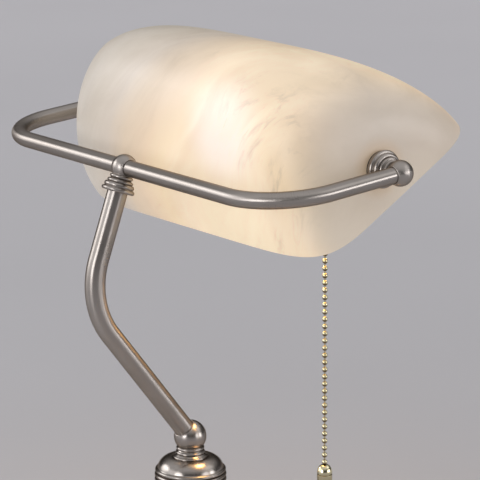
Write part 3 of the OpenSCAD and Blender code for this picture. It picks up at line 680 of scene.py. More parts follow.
NICKEL = BrushedMetal("satin nickel", (0.46, 0.425, 0.395), (0.38, 0.345, 0.315), 0.25, 0.05,
                      edge_tint=(0.40, 0.35, 0.30), brushing=0.6)
TUBE_NICKEL = replace(NICKEL, name="satin nickel tube", roughness=0.30, line_depth=0.07 * MM, brushing=0.87)
FITTING_NICKEL = replace(NICKEL, name="satin nickel fitting", roughness=0.32, unevenness=0.06, brushing=0.5)
METALS: dict[Slot, BrushedMetal] = {
    Slot.NICKEL: NICKEL,
    Slot.BRASS: BrushedMetal("machined brass", (0.78, 0.56, 0.25), (0.62, 0.42, 0.17), 0.27, 0.08),
    # The bead brass takes painted shade on the undersides of its beads.
    Slot.CHAIN_BRASS: BrushedMetal("polished bead brass", (0.93, 0.86, 0.60), (0.80, 0.70, 0.40), 0.14, 0.04,
                                   shaded_underside=True),
    Slot.SOCKET_BRASS: BrushedMetal("drawn socket brass", (0.74, 0.54, 0.26), (0.60, 0.42, 0.18), 0.3, 0.1),
    Slot.CONTACT_BRASS: BrushedMetal("stamped brass", (0.86, 0.67, 0.36), (0.70, 0.50, 0.22), 0.22, 0.08),
    Slot.STEEL: BrushedMetal("zinc plated steel", (0.42, 0.42, 0.43), (0.30, 0.30, 0.32), 0.38, 0.12,
                             clouds=Grain(90.0, 4.0, 0.55, 0.4)),
    Slot.SCREW_STEEL: BrushedMetal("black oxide steel", (0.055, 0.055, 0.06), (0.025, 0.025, 0.028), 0.4,
                                   0.1),
    Slot.BULB_METAL: BrushedMetal("rolled aluminium", (0.76, 0.76, 0.77), (0.60, 0.60, 0.62), 0.25, 0.08),
}
OTHERS: dict[Slot, PressedFelt | SandCast | Moulded | AlabasterGlass | FrostedBulb] = {
    Slot.FELT: PressedFelt(),
    Slot.CAST_IRON: SandCast(),
    Slot.GLASS: AlabasterGlass(),
    Slot.BULB_GLASS: FrostedBulb(),
    Slot.RUBBER: Moulded("soft black rubber", (0.012, 0.012, 0.012), (0.035, 0.034, 0.033), 0.62, 700.0),
    Slot.PHENOLIC: Moulded("moulded phenolic", (0.010, 0.008, 0.007), (0.028, 0.022, 0.018), 0.34, 300.0,
                           0.06 * MM),
    Slot.LINER_CARD: Moulded("pressed brown card", (0.15, 0.085, 0.042), (0.24, 0.15, 0.08), 0.8, 380.0,
                             0.2 * MM, 3.0),
    Slot.LEAD_COVER: Moulded("brown lead covering", (0.075, 0.034, 0.014), (0.12, 0.062, 0.03), 0.5, 600.0,
                             0.1 * MM),
}


@cache
def paint(slot: Slot, lay: Lay = Lay.UPRIGHT) -> Material:
    """The finish of a slot, built once and shared between pieces.

    Args:
        slot: the record's material slot.
        lay: the axis that a metal's lines run round.

    Returns:
        The material.
    """
    if slot in OTHERS:
        return OTHERS[slot].build()
    if slot is Slot.NICKEL and lay is not Lay.UPRIGHT:
        return (TUBE_NICKEL if lay is Lay.TUBE else FITTING_NICKEL).build(lay)
    return METALS[slot].build(lay)


# ---- mesh making


@dataclass
class Piece:
    """One visible piece: what it rides on, the finish it takes and the CAD nodes it stands for."""

    name: str
    body: Body
    slot: Slot
    lay: Lay = Lay.UPRIGHT
    stands_for: tuple[str, ...] = ()
    sharp_angle: float = 32.0

    def finish(self, mesh: Mesh) -> None:
        """Put the mesh in the scene, dressed and on its body.

        Args:
            mesh: the piece's mesh, in the frame's own place.
        """
        mesh.shade_smooth()
        mesh.set_sharp_from_angle(angle=radians(self.sharp_angle))
        made = stand(self.name, mesh)
        made.data.materials.append(paint(self.slot, self.lay))
        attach(made, self.body.value)
        if self.stands_for:
            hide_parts(*self.stands_for)
        LOG.info("%s: %s, rides %s, %d faces",
                 self.name, self.slot.value, self.body.value, len(mesh.polygons))


def stand(name: str, data: ID) -> Object:
    """Put a mesh, light or camera in the scene; returns its object."""
    made = bpy.data.objects.new(name, data)
    bpy.context.scene.collection.objects.link(made)
    return made


def dress_nodes(slot: Slot, *nodes: str, lay: Lay = Lay.UPRIGHT) -> None:
    """Give CAD nodes that stay visible their finish.

    Args:
        slot: the nodes' material slot.
        nodes: the nodes' names.
        lay: the axis that a metal's lines run round.
    """
    for node in nodes:
        kept = frame["nodes"][node]
        kept.data.materials.clear()
        kept.data.materials.append(paint(slot, lay))
        LOG.info("%s: kept from the CAD model, %s", node, slot.value)


def grid_mesh(name: str, rows: Sequence[Sequence[Vector]], ring: bool, closed: bool,
              uv: Callable[[int, int], tuple[float, float]]) -> Mesh:
    """Mesh over rows of points.

    Args:
        name: the mesh's name.
        rows: rows of equal length.
        ring: each row closes on itself.
        closed: the last row joins the first.
        uv: texture place of row i, column j.

    Returns:
        The mesh, with quads between neighbouring rows.
    """
    n = len(rows[0])
    faces, places = [], []
    for i in range(len(rows) if closed else len(rows) - 1):
        k = (i + 1) % len(rows)
        for j in range(n if ring else n - 1):
            m = (j + 1) % n
            faces.append((i * n + j, k * n + j, k * n + m, i * n + m))
            places += [uv(i, j), uv(i + 1, j), uv(i + 1, j + 1), uv(i, j + 1)]
    mesh = bpy.data.meshes.new(name)
    mesh.from_pydata([tuple(p) for row in rows for p in row], [], faces)
    layer = mesh.uv_layers.new(name="grain")
    for loop, place in zip(layer.data, places):
        loop.uv = place
    mesh.validate()
    return mesh


def weld(mesh: Mesh, reach: float = 1e-6) -> Mesh:
    """Join points that lie on one another and turn the faces outwards.

    Args:
        mesh: the mesh to clean.
        reach: greatest distance between points that are joined.

    Returns:
        The same mesh.
    """
    form = bmesh.new()
    form.from_mesh(mesh)
    bmesh.ops.remove_doubles(form, verts=form.verts, dist=reach)
    bmesh.ops.dissolve_degenerate(form, dist=reach, edges=form.edges)
    bmesh.ops.recalc_face_normals(form, faces=form.faces)
    form.to_mesh(mesh)
    form.free()
    return mesh


def circle(sides: int) -> list[tuple[float, float]]:
    """Cosine and sine at each corner of a circle cut into sides."""
    return [(cos(a), sin(a)) for a in (tau * k / sides for k in range(sides))]


def turn_profile(name: str, profile: Profile, origin: Vector, axis: Vector, sides: int,
                 closed: bool = False) -> Mesh:
    """Turn a profile round an axis.

    Args:
        name: the mesh's name.
        profile: (radius, place along the axis) pairs, in order.
        origin: the point that the places are measured from.
        axis: the axis's direction.
        sides: sides of the circle.
        closed: the profile closes on itself, as on a ring.

    Returns:
        The turned mesh.
    """
    along = axis.normalized()
    side = along.orthogonal().normalized()
    other = along.cross(side)
    turn = circle(sides)
    rows = [[origin + along * s + (side * c + other * d) * r for c, d in turn] for r, s in profile]
    run = [0.0]
    for (r0, s0), (r1, s1) in zip(profile, [*profile[1:], profile[0]]):
        run.append(run[-1] + hypot(r1 - r0, s1 - s0))
    return weld(grid_mesh(name, rows, True, closed, lambda i, j: (j / sides, run[i])))


def sweep_tube(name: str, path: Sequence[Vector], outer: float, inner: float, up: Vector,
               sides: int) -> Mesh:
    """Hollow tube along a path that lies in one plane.

    Args:
        name: the mesh's name.
        path: points of the centre line.
        outer: the tube's outer radius.
        inner: its inner radius.
        up: direction square to the path's plane.
        sides: sides of the circle.

    Returns:
        The tube's mesh, its two ends cut square.
    """
    rows_out, rows_in, run = [], [], [0.0]
    for i, point in enumerate(path):
        ahead = (path[min(i + 1, len(path) - 1)] - path[max(i - 1, 0)]).normalized()
        across = up.cross(ahead).normalized()
        turn = [across * c + up * d for c, d in circle(sides)]
        rows_out.append([point + d * outer for d in turn])
        rows_in.append([point + d * inner for d in turn])
        if i:
            run.append(run[-1] + (point - path[i - 1]).length)
    lengths = run + run[::-1] + run[:1]
    return weld(grid_mesh(name, rows_out + rows_in[::-1], True, True, lambda i, j: (j / sides, lengths[i])))


def bend_path(corners: Sequence[Vector], radius: float, step: float) -> list[Vector]:
    """Line through corners, each inner corner rounded.

    Args:
        corners: the ends and the corners between them.
        radius: the bends' radius.
        step: turn between neighbouring points on a bend.

    Returns:
        The points of the rounded line.
    """
    line = [corners[0]]
    for before, corner, after in zip(corners, corners[1:], corners[2:]):
        come, go = (corner - before).normalized(), (after - corner).normalized()
        turn = come.angle(go)
        middle = corner + (go - come).normalized() * (radius / cos(turn / 2))
        spoke = (corner - come * (radius * tan(turn / 2))) - middle
        axis = come.cross(go).normalized()
        count = round(turn / step)
        line += [middle + Matrix.Rotation(turn * k / count, 3, axis) @ spoke for k in range(count + 1)]
    line.append(corners[-1])
    return line


def arc(r: float, s: float, radius: float, start: float, end: float, count: int) -> list[tuple[float, float]]:
    """Arc of a profile round (r, s), its angles in degrees; returns (radius, place) pairs."""
    angles = [radians(start + (end - start) * k / count) for k in range(count + 1)]
    return [(r + radius * cos(a), s + radius * sin(a)) for a in angles]


def quarter(count: int) -> list[float]:
    """Angles of a quarter turn cut into steps."""
    return [pi / 2 * k / count for k in range(count + 1)]


def signed_power(value: float, power: float) -> float:
    """Power of a value's size, with its sign kept."""
    return copysign(abs(value) ** power, value)


def clamp(value: float) -> float:
    """A value held between 0 and 1."""
    return min(1.0, max(0.0, value))


# ---- the lamp's sub-assemblies


class Foot:
    """Weighted round foot: spun shell, weight, felt pad, bushing and the parts that hold the column."""

    def build(self) -> None:
        """Dress the foot's pieces."""
        dress_nodes(Slot.FELT, "felt_pad")
        dress_nodes(Slot.CAST_IRON, "base_weight")
        dress_nodes(Slot.NICKEL, "foot_shell")
        dress_nodes(Slot.RUBBER, "cord_bushing")
        dress_nodes(Slot.STEEL, "central_rod", "base_washer", "base_nut")


class Column:
    """Turned column, its ringed cap and the knuckle on it."""

    def build(self) -> None:
        """Dress the column's pieces."""
        dress_nodes(Slot.NICKEL, "column", "column_cap", "knuckle_fitting")


@dataclass
class Trim:
    """A thin nickel ring, turned round a line that leaves the middle of a ball fitting."""

    name: str
    ball: Vector
    toward: Vector
    lay: Lay = Lay.ALONG_X
    lip_round: float = 0.42 * MM
    lip_out: float = 0.95
    lip_in: float = 0.4
    lip_sides: int = 72
    lip_sweep: tuple[float, int] = (345.0, 15)
    ring_sides: int = 96
    ring_sweep: tuple[float, int] = (350.0, 35)

    def lip(self, ball_r: float, tube_r: float) -> None:
        """Rolled lip round a tube where it leaves the ball, filling the hole's chamfer.

        Args:
            ball_r: the ball's radius.
            tube_r: the tube's radius.
        """
        middle_r = tube_r + self.lip_round * self.lip_out
        place = sqrt(ball_r ** 2 - (middle_r + self.lip_round * self.lip_in) ** 2)
        self.turn(arc(middle_r, place, self.lip_round, 0, *self.lip_sweep), self.lip_sides)

    def ring(self, cone_r: float, cone_s: float, round_r: float) -> None:
        """Fat ring on the fitting's cone, by its middle line's radius and place and its own roundness."""
        self.turn(arc(cone_r, cone_s, round_r, 0, *self.ring_sweep), self.ring_sides)

    def turn(self, profile: Profile, sides: int) -> None:
        """Turn a closed profile of (radius, place from the ball) pairs and finish it."""
        mesh = turn_profile(self.name, profile, self.ball, self.toward, sides, True)
        Piece(self.name, Body.STAND, Slot.NICKEL, self.lay).finish(mesh)


@dataclass
class Stem:
    """Bent stem tube from the knuckle to the tee, the tee and its set screws."""

    tube_r: float = half_size("stem_tube", 0)
    wall: float = 1.2 * MM
    low_lean: float = radians(38)
    bend_r: float = 48 * MM
    bend_step: float = radians(2)
    sides: int = 64
    rod_below_ball: float = 3 * MM
    foot_cut: float = 3 * MM
    head_cut: float = 9.6 * MM
    knuckle_r: float = 9.7 * MM
    tee_r: float = 7.45 * MM
    ring_r: float = 7.3 * MM
    ring_s: float = 11.0 * MM
    ring_round: float = 1.5 * MM

    def corners(self) -> list[Vector]:
        """Ends and corner of the stem's centre line.

        Returns:
            The knuckle's ball centre, the corner and the tee's ball centre.
        """
        start = Vector((0, 0, high("central_rod").z + self.rod_below_ball))
        end = TEE.copy()
        rise = end.z - start.z
        drop = (rise * tan(self.low_lean) - end.y) / (tan(TEE_LEAN) + tan(self.low_lean))
        return [start, Vector((0, end.y + drop * tan(TEE_LEAN), end.z - drop)), end]

    def build(self) -> None:
        """Bend the tube, trim the knuckle and the tee, and dress the tee and its screws."""
        start, corner, end = self.corners()
        foot = start + (corner - start).normalized() * self.foot_cut
        head = end + (corner - end).normalized() * self.head_cut
        path = bend_path([foot, corner, head], self.bend_r, self.bend_step)
        mesh = sweep_tube("stem", path, self.tube_r, self.tube_r - self.wall, ALONG_BAR, self.sides)
        Piece("stem", Body.STAND, Slot.NICKEL, Lay.TUBE, ("stem_tube",)).finish(mesh)
        Trim("knuckle_lip", start, corner - start, Lay.TEE).lip(self.knuckle_r, self.tube_r)
        Trim("tee_lip_near", end, -ALONG_BAR).lip(self.tee_r, YOKE_R)
        Trim("tee_lip_far", end, ALONG_BAR).lip(self.tee_r, YOKE_R)
        dress_nodes(Slot.NICKEL, "tee_fitting", lay=Lay.TEE)
        down = Vector((0, sin(TEE_LEAN), -cos(TEE_LEAN)))
        Trim("tee_ring", end, down, Lay.TEE).ring(self.ring_r, self.ring_s, self.ring_round)
        dress_nodes(Slot.SCREW_STEEL, "tee_set_screws")


@dataclass
class Yoke:
    """U-shaped yoke tube and the ball fittings on its arms."""

    wall: float = 1.1 * MM
    bend_r: float = 40 * MM
    bend_step: float = radians(3)
    sides: int = 56
    rise: float = radians(5)
    arm_seat: float = 3 * MM
    ball_r: float = 7.45 * MM
    ring_r: float = 8.05 * MM
    ring_s: float = 11.15 * MM
    ring_round: float = 1.55 * MM
    end_nodes: tuple[tuple[Slot, tuple[str, ...]], ...] = (
        (Slot.NICKEL, ("end_fitting_", "outer_washer_")), (Slot.STEEL, ("inner_washer_",)),
        (Slot.BRASS, ("pivot_nipple_", "pivot_nut_")))

    def build(self) -> None:
        """Bend the yoke, then trim and dress its end fittings."""
        half = high("yoke_tube").x - YOKE_R
        forward = Vector((0, -cos(self.rise), sin(self.rise)))
        arm = (TEE.y - PIVOT.y) / cos(self.rise) - self.arm_seat
        corners = [TEE + Vector((side * half, 0, 0)) for side in (-1, 1)]
        ends = [corner + forward * arm for corner in corners]
        path = bend_path([ends[0], *corners, ends[1]], self.bend_r, self.bend_step)
        normal = forward.cross(ALONG_BAR).normalized()
        mesh = sweep_tube("yoke", path, YOKE_R, YOKE_R - self.wall, normal, self.sides)
        Piece("yoke", Body.STAND, Slot.NICKEL, Lay.TUBE, ("yoke_tube",)).finish(mesh)
        arms = [(end, Vector((corner.x, PIVOT.y, PIVOT.z))) for end, corner in zip(("near", "far"), corners)]
        for end, ball in arms:
            Trim("arm_lip_" + end, ball, -forward).lip(self.ball_r, YOKE_R)
        for end, ball in arms:
            inward = Vector((-ball.x, 0, 0))
            Trim("end_ring_" + end, ball, inward).ring(self.ring_r, self.ring_s, self.ring_round)
            for slot, nodes in self.end_nodes:
                dress_nodes(slot, *(node + end for node in nodes), lay=Lay.ALONG_X)


@dataclass
class Shade:
    """Arched glass shade with flats ground round its pivot holes, and its rubber grommets."""

    half: float = high("shade_glass").x
    half_w: float = 67 * MM
    crown_h: float = 92 * MM
    thick: float = 4 * MM
    plan_power: float = 6.3
    crown_power: float = 3.8
    arch_power: float = 1.76
    crown_lean: float = 0.165
    pivot_up: float = 23.5 * MM
    pivot_back: float = 6.5 * MM
    tilt: float = radians(31)
    flat_r: float = 11.6 * MM
    flat_fade: float = 3 * MM
    flat_deep: float = 3 * MM
    face_in: float = 0.2 * MM
    hole_r: float = 6.26 * MM
    hole_sides: int = 48
    hole_past_ends: float = 1.1
    rows: int = 180
    cols: int = 112
    row_ease: float = 1.35
    col_ease: float = 0.9
    rim_steps: int = 6
    weld_reach: float = 2e-6
    sharp_angle: float = 40.0

    def build(self) -> None:
        """Blow the glass, cut its pivot holes and dress the grommets."""
        shade = Piece("shade", Body.SHADE, Slot.GLASS, Lay.UPRIGHT, ("shade_glass",), self.sharp_angle)
        shade.finish(self.drilled(self.shell_mesh()))
        dress_nodes(Slot.RUBBER, "grommet_near", "grommet_far", lay=Lay.ALONG_X)

    def shell_point(self, inset: float, u: float, v: float) -> Vector:
        """Point of the shell in the shade's own place.

        Args:
            inset: how far inside the outer face the shell lies.
            u: angle along the shade, -90 to 90 degrees.
            v: angle over the arch, 0 at the rim's back to 180 degrees at its front.

        Returns:
            The point, above the middle of the rim.
        """
        x = signed_power(sin(u), 2 / self.crown_power)
        rise = abs(cos(u)) ** (2 / self.crown_power)
        spread = max(0.0, 1 - abs(x) ** self.plan_power) ** (1 / self.plan_power)
        z = (self.crown_h - inset) * rise * abs(sin(v)) ** (2 / self.arch_power)
        across = (self.half_w - inset) * spread * signed_power(cos(v), 2 / self.arch_power)
        return Vector(((self.half - inset) * x, across + self.crown_lean * z, z))

    def ground(self, point: Vector, depth: float) -> Vector:
        """Grind the flats round the pivot holes.

        Args:
            point: a point of the shell, measured from the rim's middle.
            depth: how far inside the outer face the point's own face lies.

        Returns:
            The point, moved square to the flat where it lies on one.
        """
        flat_x = self.half - self.face_in - depth
        off = hypot(point.y - self.pivot_back, point.z - self.pivot_up)
        if abs(point.x) < flat_x - self.flat_deep or off > self.flat_r + self.flat_fade:
            return point
        share = min(1.0, (self.flat_r + self.flat_fade - off) / self.flat_fade)
        x = abs(point.x) + (flat_x - abs(point.x)) * share
        return Vector((copysign(x, point.x), point.y, point.z))

    def to_frame(self) -> Matrix:
        """Turn from the shade's own place to the frame; returns the matrix."""
        lift = Matrix.Translation((0, -self.pivot_back, -self.pivot_up))
        return Matrix.Translation(PIVOT) @ Matrix.Rotation(-self.tilt, 4, "X") @ lift

    def length_angles(self) -> list[float]:
        """Angles along the shade, closer together near its ends."""
        shares = [2 * i / self.rows - 1 for i in range(self.rows + 1)]
        reaches = [copysign(1 - (1 - abs(t)) ** self.row_ease, t) for t in shares]
        return [asin(signed_power(x, self.crown_power / 2)) for x in reaches]

    def arch_angles(self) -> list[float]:
        """Angles over the arch, closer together near the rim."""
        cosines = [cos(pi * j / self.cols) for j in range(self.cols + 1)]
        return [pi * (0.5 - 0.5 * signed_power(c, self.col_ease)) for c in cosines]

    def shell_mesh(self) -> Mesh:
        """Double-walled shell with a flat rim; returns its mesh."""
        place, arch = self.to_frame(), self.arch_angles()
        rows = []
        for u in self.length_angles():
            outer = [self.ground(self.shell_point(0, u, v), 0) for v in arch]
            inner = [self.ground(self.shell_point(self.thick, u, v), self.thick) for v in reversed(arch)]
            row = outer + self.rim(outer[-1], inner[0]) + inner + self.rim(inner[-1], outer[0])
            rows.append([place @ p for p in row])
        mesh = grid_mesh("shade", rows, True, False, lambda i, j: (i / self.rows, j / self.cols))
        return weld(mesh, self.weld_reach)

    def rim(self, start: Vector, end: Vector) -> list[Vector]:
        """Points of the rim between a point on one face and its neighbour on the other."""
        return [start.lerp(end, k / self.rim_steps) for k in range(1, self.rim_steps)]

    def drilled(self, mesh: Mesh) -> Mesh:
        """Cut the two pivot holes.

        Args:
            mesh: the shell.

        Returns:
            A new mesh with the holes through both ends.
        """
        reach = self.hole_past_ends * self.half
        profile = [(0.0, -reach), (self.hole_r, -reach), (self.hole_r, reach), (0.0, reach)]
        shell = stand("shell", mesh)
        drill = stand("drill", turn_profile("drill", profile, PIVOT, ALONG_BAR, self.hole_sides))
        cutter = shell.modifiers.new("holes", "BOOLEAN")
        cutter.operation, cutter.object, cutter.solver = "DIFFERENCE", drill, "EXACT"
        bpy.context.view_layer.update()
        result = bpy.data.meshes.new_from_object(shell.evaluated_get(bpy.context.evaluated_depsgraph_get()))
        for part in (shell, drill):
            bpy.data.objects.remove(part)
        return result


class Socket:
    """Pull-chain socket inside the shade, with its lead."""

    def build(self) -> None:
        """Dress the socket's pieces."""
        dress_nodes(Slot.SOCKET_BRASS, "socket_cap", "socket_shell", lay=Lay.ALONG_X)
        dress_nodes(Slot.SOCKET_BRASS, "chain_outlet")
        dress_nodes(Slot.LINER_CARD, "socket_liner")
        dress_nodes(Slot.PHENOLIC, "socket_body")
        dress_nodes(Slot.CONTACT_BRASS, "screw_shell", "centre_contact", lay=Lay.ALONG_X)
        dress_nodes(Slot.LEAD_COVER, "inner_lead")


@dataclass
class Bulb:
    """Screw-base bulb with a round coated globe; places run along X from the contact's tip."""

    tip: Vector = field(default_factory=lambda: Vector((low("bulb_base").x, PIVOT.y, PIVOT.z)))
    base_r: float = half_size("bulb_base", 2)
    base_len: float = high("bulb_base").x - low("bulb_base").x
    sides: int = 72
    seat_in: float = 0.6 * MM
    seat_rise: float = 1.2 * MM
    neck_out: float = 0.6 * MM
    neck_run: float = 4 * MM
    neck_steps: int = 12
    shoulder_from: float = -55.0
    shoulder_steps: int = 40
    thread_depth: float = 0.9 * MM
    thread_turns: float = 4.5
    thread_fade: float = 2 * MM
    thread_steps: int = 60
    tip_cone: float = 5 * MM
    contact: Profile = ((0.0, 0.0), (3 * MM, 0.0), (4.4 * MM, 0.8 * MM), (5 * MM, 2 * MM))

    def build(self) -> None:
        """Blow the globe and roll the screw base."""
        for name, slot, node, mesh in (("bulb", Slot.BULB_GLASS, "bulb_globe", self.globe_mesh()),
                                       ("bulb_screw", Slot.BULB_METAL, "bulb_base", self.screw_mesh())):
            Piece(name, Body.STAND, slot, Lay.ALONG_X, (node,)).finish(mesh)

    def globe_mesh(self) -> Mesh:
        """Round globe that draws in to a neck seated in the base; returns its mesh."""
        shoulder = arc(0, GLOBE.x - self.tip.x, GLOBE_R, self.shoulder_from, 90, self.shoulder_steps)
        neck_r, neck_s = self.base_r + self.neck_out, self.base_len + self.neck_run
        first_r, first_s = shoulder[0]
        curve = [(neck_r + (first_r - neck_r) * (3 * t * t - 2 * t ** 3), neck_s + (first_s - neck_s) * t)
                 for t in (k / self.neck_steps for k in range(1, self.neck_steps))]
        seat = [(self.base_r - self.seat_in, self.base_len), (self.base_r, self.base_len + self.seat_rise)]
        profile = [*seat, (neck_r, neck_s), *curve, *shoulder]
        return turn_profile("bulb", profile, self.tip, ALONG_BAR, self.sides)

    def screw_mesh(self) -> Mesh:
        """Rolled screw base with a helical thread that fades out at both ends; returns its mesh."""
        root, run = self.base_r - self.thread_depth, self.base_len - self.tip_cone
        pitch = (run - self.thread_fade) / self.thread_turns
        turned = [(root, self.tip_cone + run * k / self.thread_steps) for k in range(self.thread_steps + 1)]
        rows = []
        for radius, place in [*self.contact, *turned]:
            start = clamp((place - self.tip_cone) / self.thread_fade)
            end = clamp((self.base_len - place) / self.thread_fade)
            row = []
            for k, (c, s) in enumerate(circle(self.sides)):
                turn = tau * (place - self.tip_cone) / pitch - tau * k / self.sides
                r = radius + self.thread_depth * (0.5 - 0.5 * cos(turn)) * start * end
                row.append(self.tip + Vector((place, r * c, r * s)))
            rows.append(row)
        rows.append([self.tip + Vector((self.base_len, 0, 0))] * self.sides)
        return weld(grid_mesh("bulb_screw", rows, True, False,
                              lambda i, j: (j / self.sides, i / self.thread_steps)))


@dataclass
class PullChain:
    """Switch toggle, bead chain and its turned pull."""

    top: Vector = field(default_factory=lambda: joint_place("chain_swing"))
    bead_r: float = 1.6 * MM
    pitch: float = 4.3 * MM
    link_r: float = 0.45 * MM
    link_past_bead: float = 0.05 * MM
    lip_r: float = 0.75 * MM
    lip_curl: float = 0.12 * MM
    lip_deep: float = 0.25 * MM
    last_in: float = 0.3 * MM
    bead_sides: int = 28
    bead_steps: int = 12
    bead_sharp: float = 60.0
    pull_r: float = half_size("chain_pull", 0)
    pull_sides: int = 56
    pull_sharp: float = 40.0
    cap_h: float = 5 * MM
    cap_steps: int = 18
    eye_r: float = 1.4 * MM
    groove: Profile = ((0.15 * MM, 0.15 * MM), (0.6 * MM, 0.25 * MM), (0.6 * MM, 0.75 * MM),
                       (0.15 * MM, 0.85 * MM))
    groove_h: float = 1 * MM
    drop_steps: int = 28

    def build(self) -> None:
        """String the beads, turn the pull and dress the toggle."""
        for name, node, mesh, sharp in (("beads", "bead_chain", self.bead_mesh(), self.bead_sharp),
                                        ("pull", "chain_pull", self.pull_mesh(), self.pull_sharp)):
            Piece(name, Body.CHAIN, Slot.CHAIN_BRASS, Lay.UPRIGHT, (node,), sharp).finish(mesh)
        dress_nodes(Slot.CHAIN_BRASS, "chain_toggle")

    def bead_mesh(self) -> Mesh:
        """The hanging beads and the links between them; returns their mesh."""
        count = round((self.top.z - low("bead_chain").z - self.bead_r) / self.pitch)
        edge = degrees(acos(self.lip_r / self.bead_r))
        lip = sqrt(self.bead_r ** 2 - self.lip_r ** 2)
        first = -self.bead_r - self.link_past_bead
        profile = [(0.0, first), (self.link_r, first)]
        for k in range(1, count + 1):
            middle = -k * self.pitch
            hollow = [(self.link_r, lip - self.lip_deep), (self.lip_r - self.lip_curl, lip - self.lip_curl)]
            profile += [(r, middle + s) for r, s in hollow]
            profile += arc(0, middle, self.bead_r, edge, -edge, self.bead_steps)
            profile += [(r, middle - s) for r, s in reversed(hollow)]
        profile.append((0.0, -count * self.pitch - self.bead_r + self.last_in))
        return turn_profile("beads", profile, self.top, UPWARD, self.bead_sides)

    def pull_mesh(self) -> Mesh:
        """Turned pull with a domed cap, a groove and a drop-shaped body; returns its mesh."""
        crest, foot = high("chain_pull").z, low("chain_pull").z
        r, start = self.pull_r, -self.cap_h - self.groove_h
        drop = crest - foot + start
        dome = [(self.eye_r + (r - self.eye_r) * sin(a), -self.cap_h + self.cap_h * cos(a))
                for a in quarter(self.cap_steps)]
        groove = [(r - deep, -self.cap_h - below) for deep, below in self.groove]
        body = [(r * cos(a), start - drop * sin(a)) for a in quarter(self.drop_steps)]
        profile = [(0.0, 0.0), *dome, *groove, *body]
        return turn_profile("pull", profile, Vector((self.top.x, self.top.y, crest)), UPWARD, self.pull_sides)


# ---- the studio


class Aim(Enum):
    """What a lamp of the studio is for."""

    KEY = "key"
    SIDE = "side"
    FILL = "fill"
    UNDER = "under the shade"


@dataclass(frozen=True)
class Softbox:
    """A soft rectangular studio lamp aimed at the object."""

    aim: Aim
    place: Place
    width: float
    height: float
    watts: float
    target: Place = (0.0, 0.0, 0.24)
    colour: Colour = (1.0, 1.0, 1.0)

    def build(self) -> None:
        """Hang the lamp and aim it."""
        light = bpy.data.lights.new(self.aim.value, "AREA")
        light.shape, light.size, light.size_y, light.energy = "RECTANGLE", self.width, self.height, self.watts
        light.color = self.colour
        hung = stand(self.aim.value, light)
        hung.location = self.place
        hung.rotation_euler = (Vector(self.target) - Vector(self.place)).to_track_quat("-Z", "Y").to_euler()
        LOG.info("softbox %s: %.1f W", self.aim.value, self.watts)


@dataclass(frozen=True)
class SoftPatch:
    """A bright patch of the room round the lamp, such as a lit reflector: its two angles in degrees."""

    toward: Place
    level: float
    inner: float
    outer: float


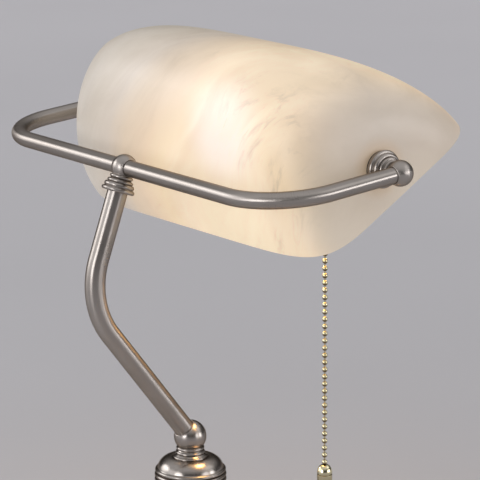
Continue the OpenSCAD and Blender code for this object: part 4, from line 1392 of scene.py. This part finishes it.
@dataclass(frozen=True)
class Studio:
    """Pale floor, soft light, surroundings dim at the eye's height and bright overhead, and the camera."""

    floor_size: float = 24.0
    room_levels: Profile = ((0.0, 0.24), (0.07, 0.09), (0.32, 0.09), (0.56, 0.36), (0.90, 0.66), (1.0, 0.66))
    room_colour: Colour = (1.0, 0.992, 1.01)
    heading: float = radians(37.22)
    dip: float = radians(13.53)
    roll: float = radians(-0.29)
    eye: Place = (-1.2653, 0.9231, 0.6165)
    focal: float = 206.25
    sensor: float = 36.0
    sight: float = 100.0
    softboxes: tuple[Softbox, ...] = (
        Softbox(Aim.KEY, (1.13, 0.84, 0.80), 0.9, 0.34, 1.6),
        Softbox(Aim.SIDE, (-0.20, 1.62, 0.60), 0.50, 0.9, 1.5),
        Softbox(Aim.FILL, (-1.0, -1.1, 1.5), 1.4, 1.0, 2.6),
        Softbox(Aim.UNDER, (-0.030, -0.048, 0.258), 0.07, 0.04, 0.15, (0.01, 0.01, 0.0), (1.0, 0.55, 0.20)),
    )
    patches: tuple[SoftPatch, ...] = (
        SoftPatch((0.79, 0.53, 0.28), 2.4, 6.0, 24.0),
        SoftPatch((0.34, 0.90, 0.25), 1.2, 5.0, 26.0),
        SoftPatch((-0.20, 0.96, 0.16), 4.0, 6.0, 18.0),
        SoftPatch((-0.93, -0.30, 0.16), 2.6, 4.0, 18.0),
        SoftPatch((-0.74, -0.66, 0.12), 4.2, 4.0, 15.0),
    )

    def build(self) -> None:
        """Lay the floor, light the room, hang the lamps and set the camera."""
        self.lay_floor()
        self.light_room()
        for box in self.softboxes:
            box.build()
        self.set_camera()

    def lay_floor(self) -> None:
        """One large level floor."""
        half = self.floor_size / 2
        mesh = bpy.data.meshes.new("floor")
        mesh.from_pydata([(-half, -half, 0), (half, -half, 0), (half, half, 0), (-half, half, 0)], [],
                         [(0, 1, 2, 3)])
        mesh.materials.append(PaleFloor().build())
        stand("floor", mesh)

    def light_room(self) -> None:
        """Brightness by height, with a soft brighter patch in some directions."""
        world = bpy.data.worlds.new("studio")
        bpy.context.scene.world = world
        world.use_nodes = True
        g = Graph(world.node_tree)
        where = g.add("TexCoord").outputs["Generated"]
        levels = g.add("FloatCurve", {"Value": g.part(where, "Z")})
        line = levels.mapping.curves[0].points
        for at, level in self.room_levels[1:-1]:
            line.new(at, level)
        line[0].location, line[-1].location = self.room_levels[0], self.room_levels[-1]
        levels.mapping.extend = "HORIZONTAL"
        levels.mapping.update()
        total = levels.outputs[0]
        for patch in self.patches:
            facing = g.measure(where, tuple(Vector(patch.toward).normalized()), "DOT_PRODUCT")
            outer, inner = (cos(radians(angle)) for angle in (patch.outer, patch.inner))
            total = g.sum(total, g.span(facing, Band(outer, inner, 0.0, patch.level)))
        back = world.node_tree.nodes["Background"]
        g.feed(back.inputs["Strength"], total)
        g.feed(back.inputs["Color"], opaque(self.room_colour))

    def set_camera(self) -> None:
        """Camera on the socket's side, behind the bar."""
        data = bpy.data.cameras.new("camera")
        data.lens, data.sensor_width, data.clip_end = self.focal, self.sensor, self.sight
        camera = stand("camera", data)
        level = cos(self.dip)
        look = Vector((cos(self.heading) * level, -sin(self.heading) * level, -sin(self.dip)))
        right = look.cross(UPWARD).normalized()
        up = right.cross(look)
        c, s = cos(self.roll), sin(self.roll)
        turn = Matrix((c * right + s * up, c * up - s * right, -look)).transposed()
        camera.matrix_world = Matrix.Translation(self.eye) @ turn.to_4x4()
        bpy.context.scene.camera = camera
        bpy.context.scene.view_settings.view_transform = "Standard"


def corners(box: Iterable[Vector]) -> list[list[float]]:
    """A box as plain lists."""
    return [[float(value) for value in corner] for corner in box]


def main() -> None:
    """Build the lamp from foot to pull, then the studio."""
    logging.basicConfig(level=logging.INFO, format="%(message)s")
    for part in (Foot, Column, Stem, Yoke, Shade, Socket, Bulb, PullChain):
        part().build()
    Studio().build()


if __name__ == "__main__":
    main()
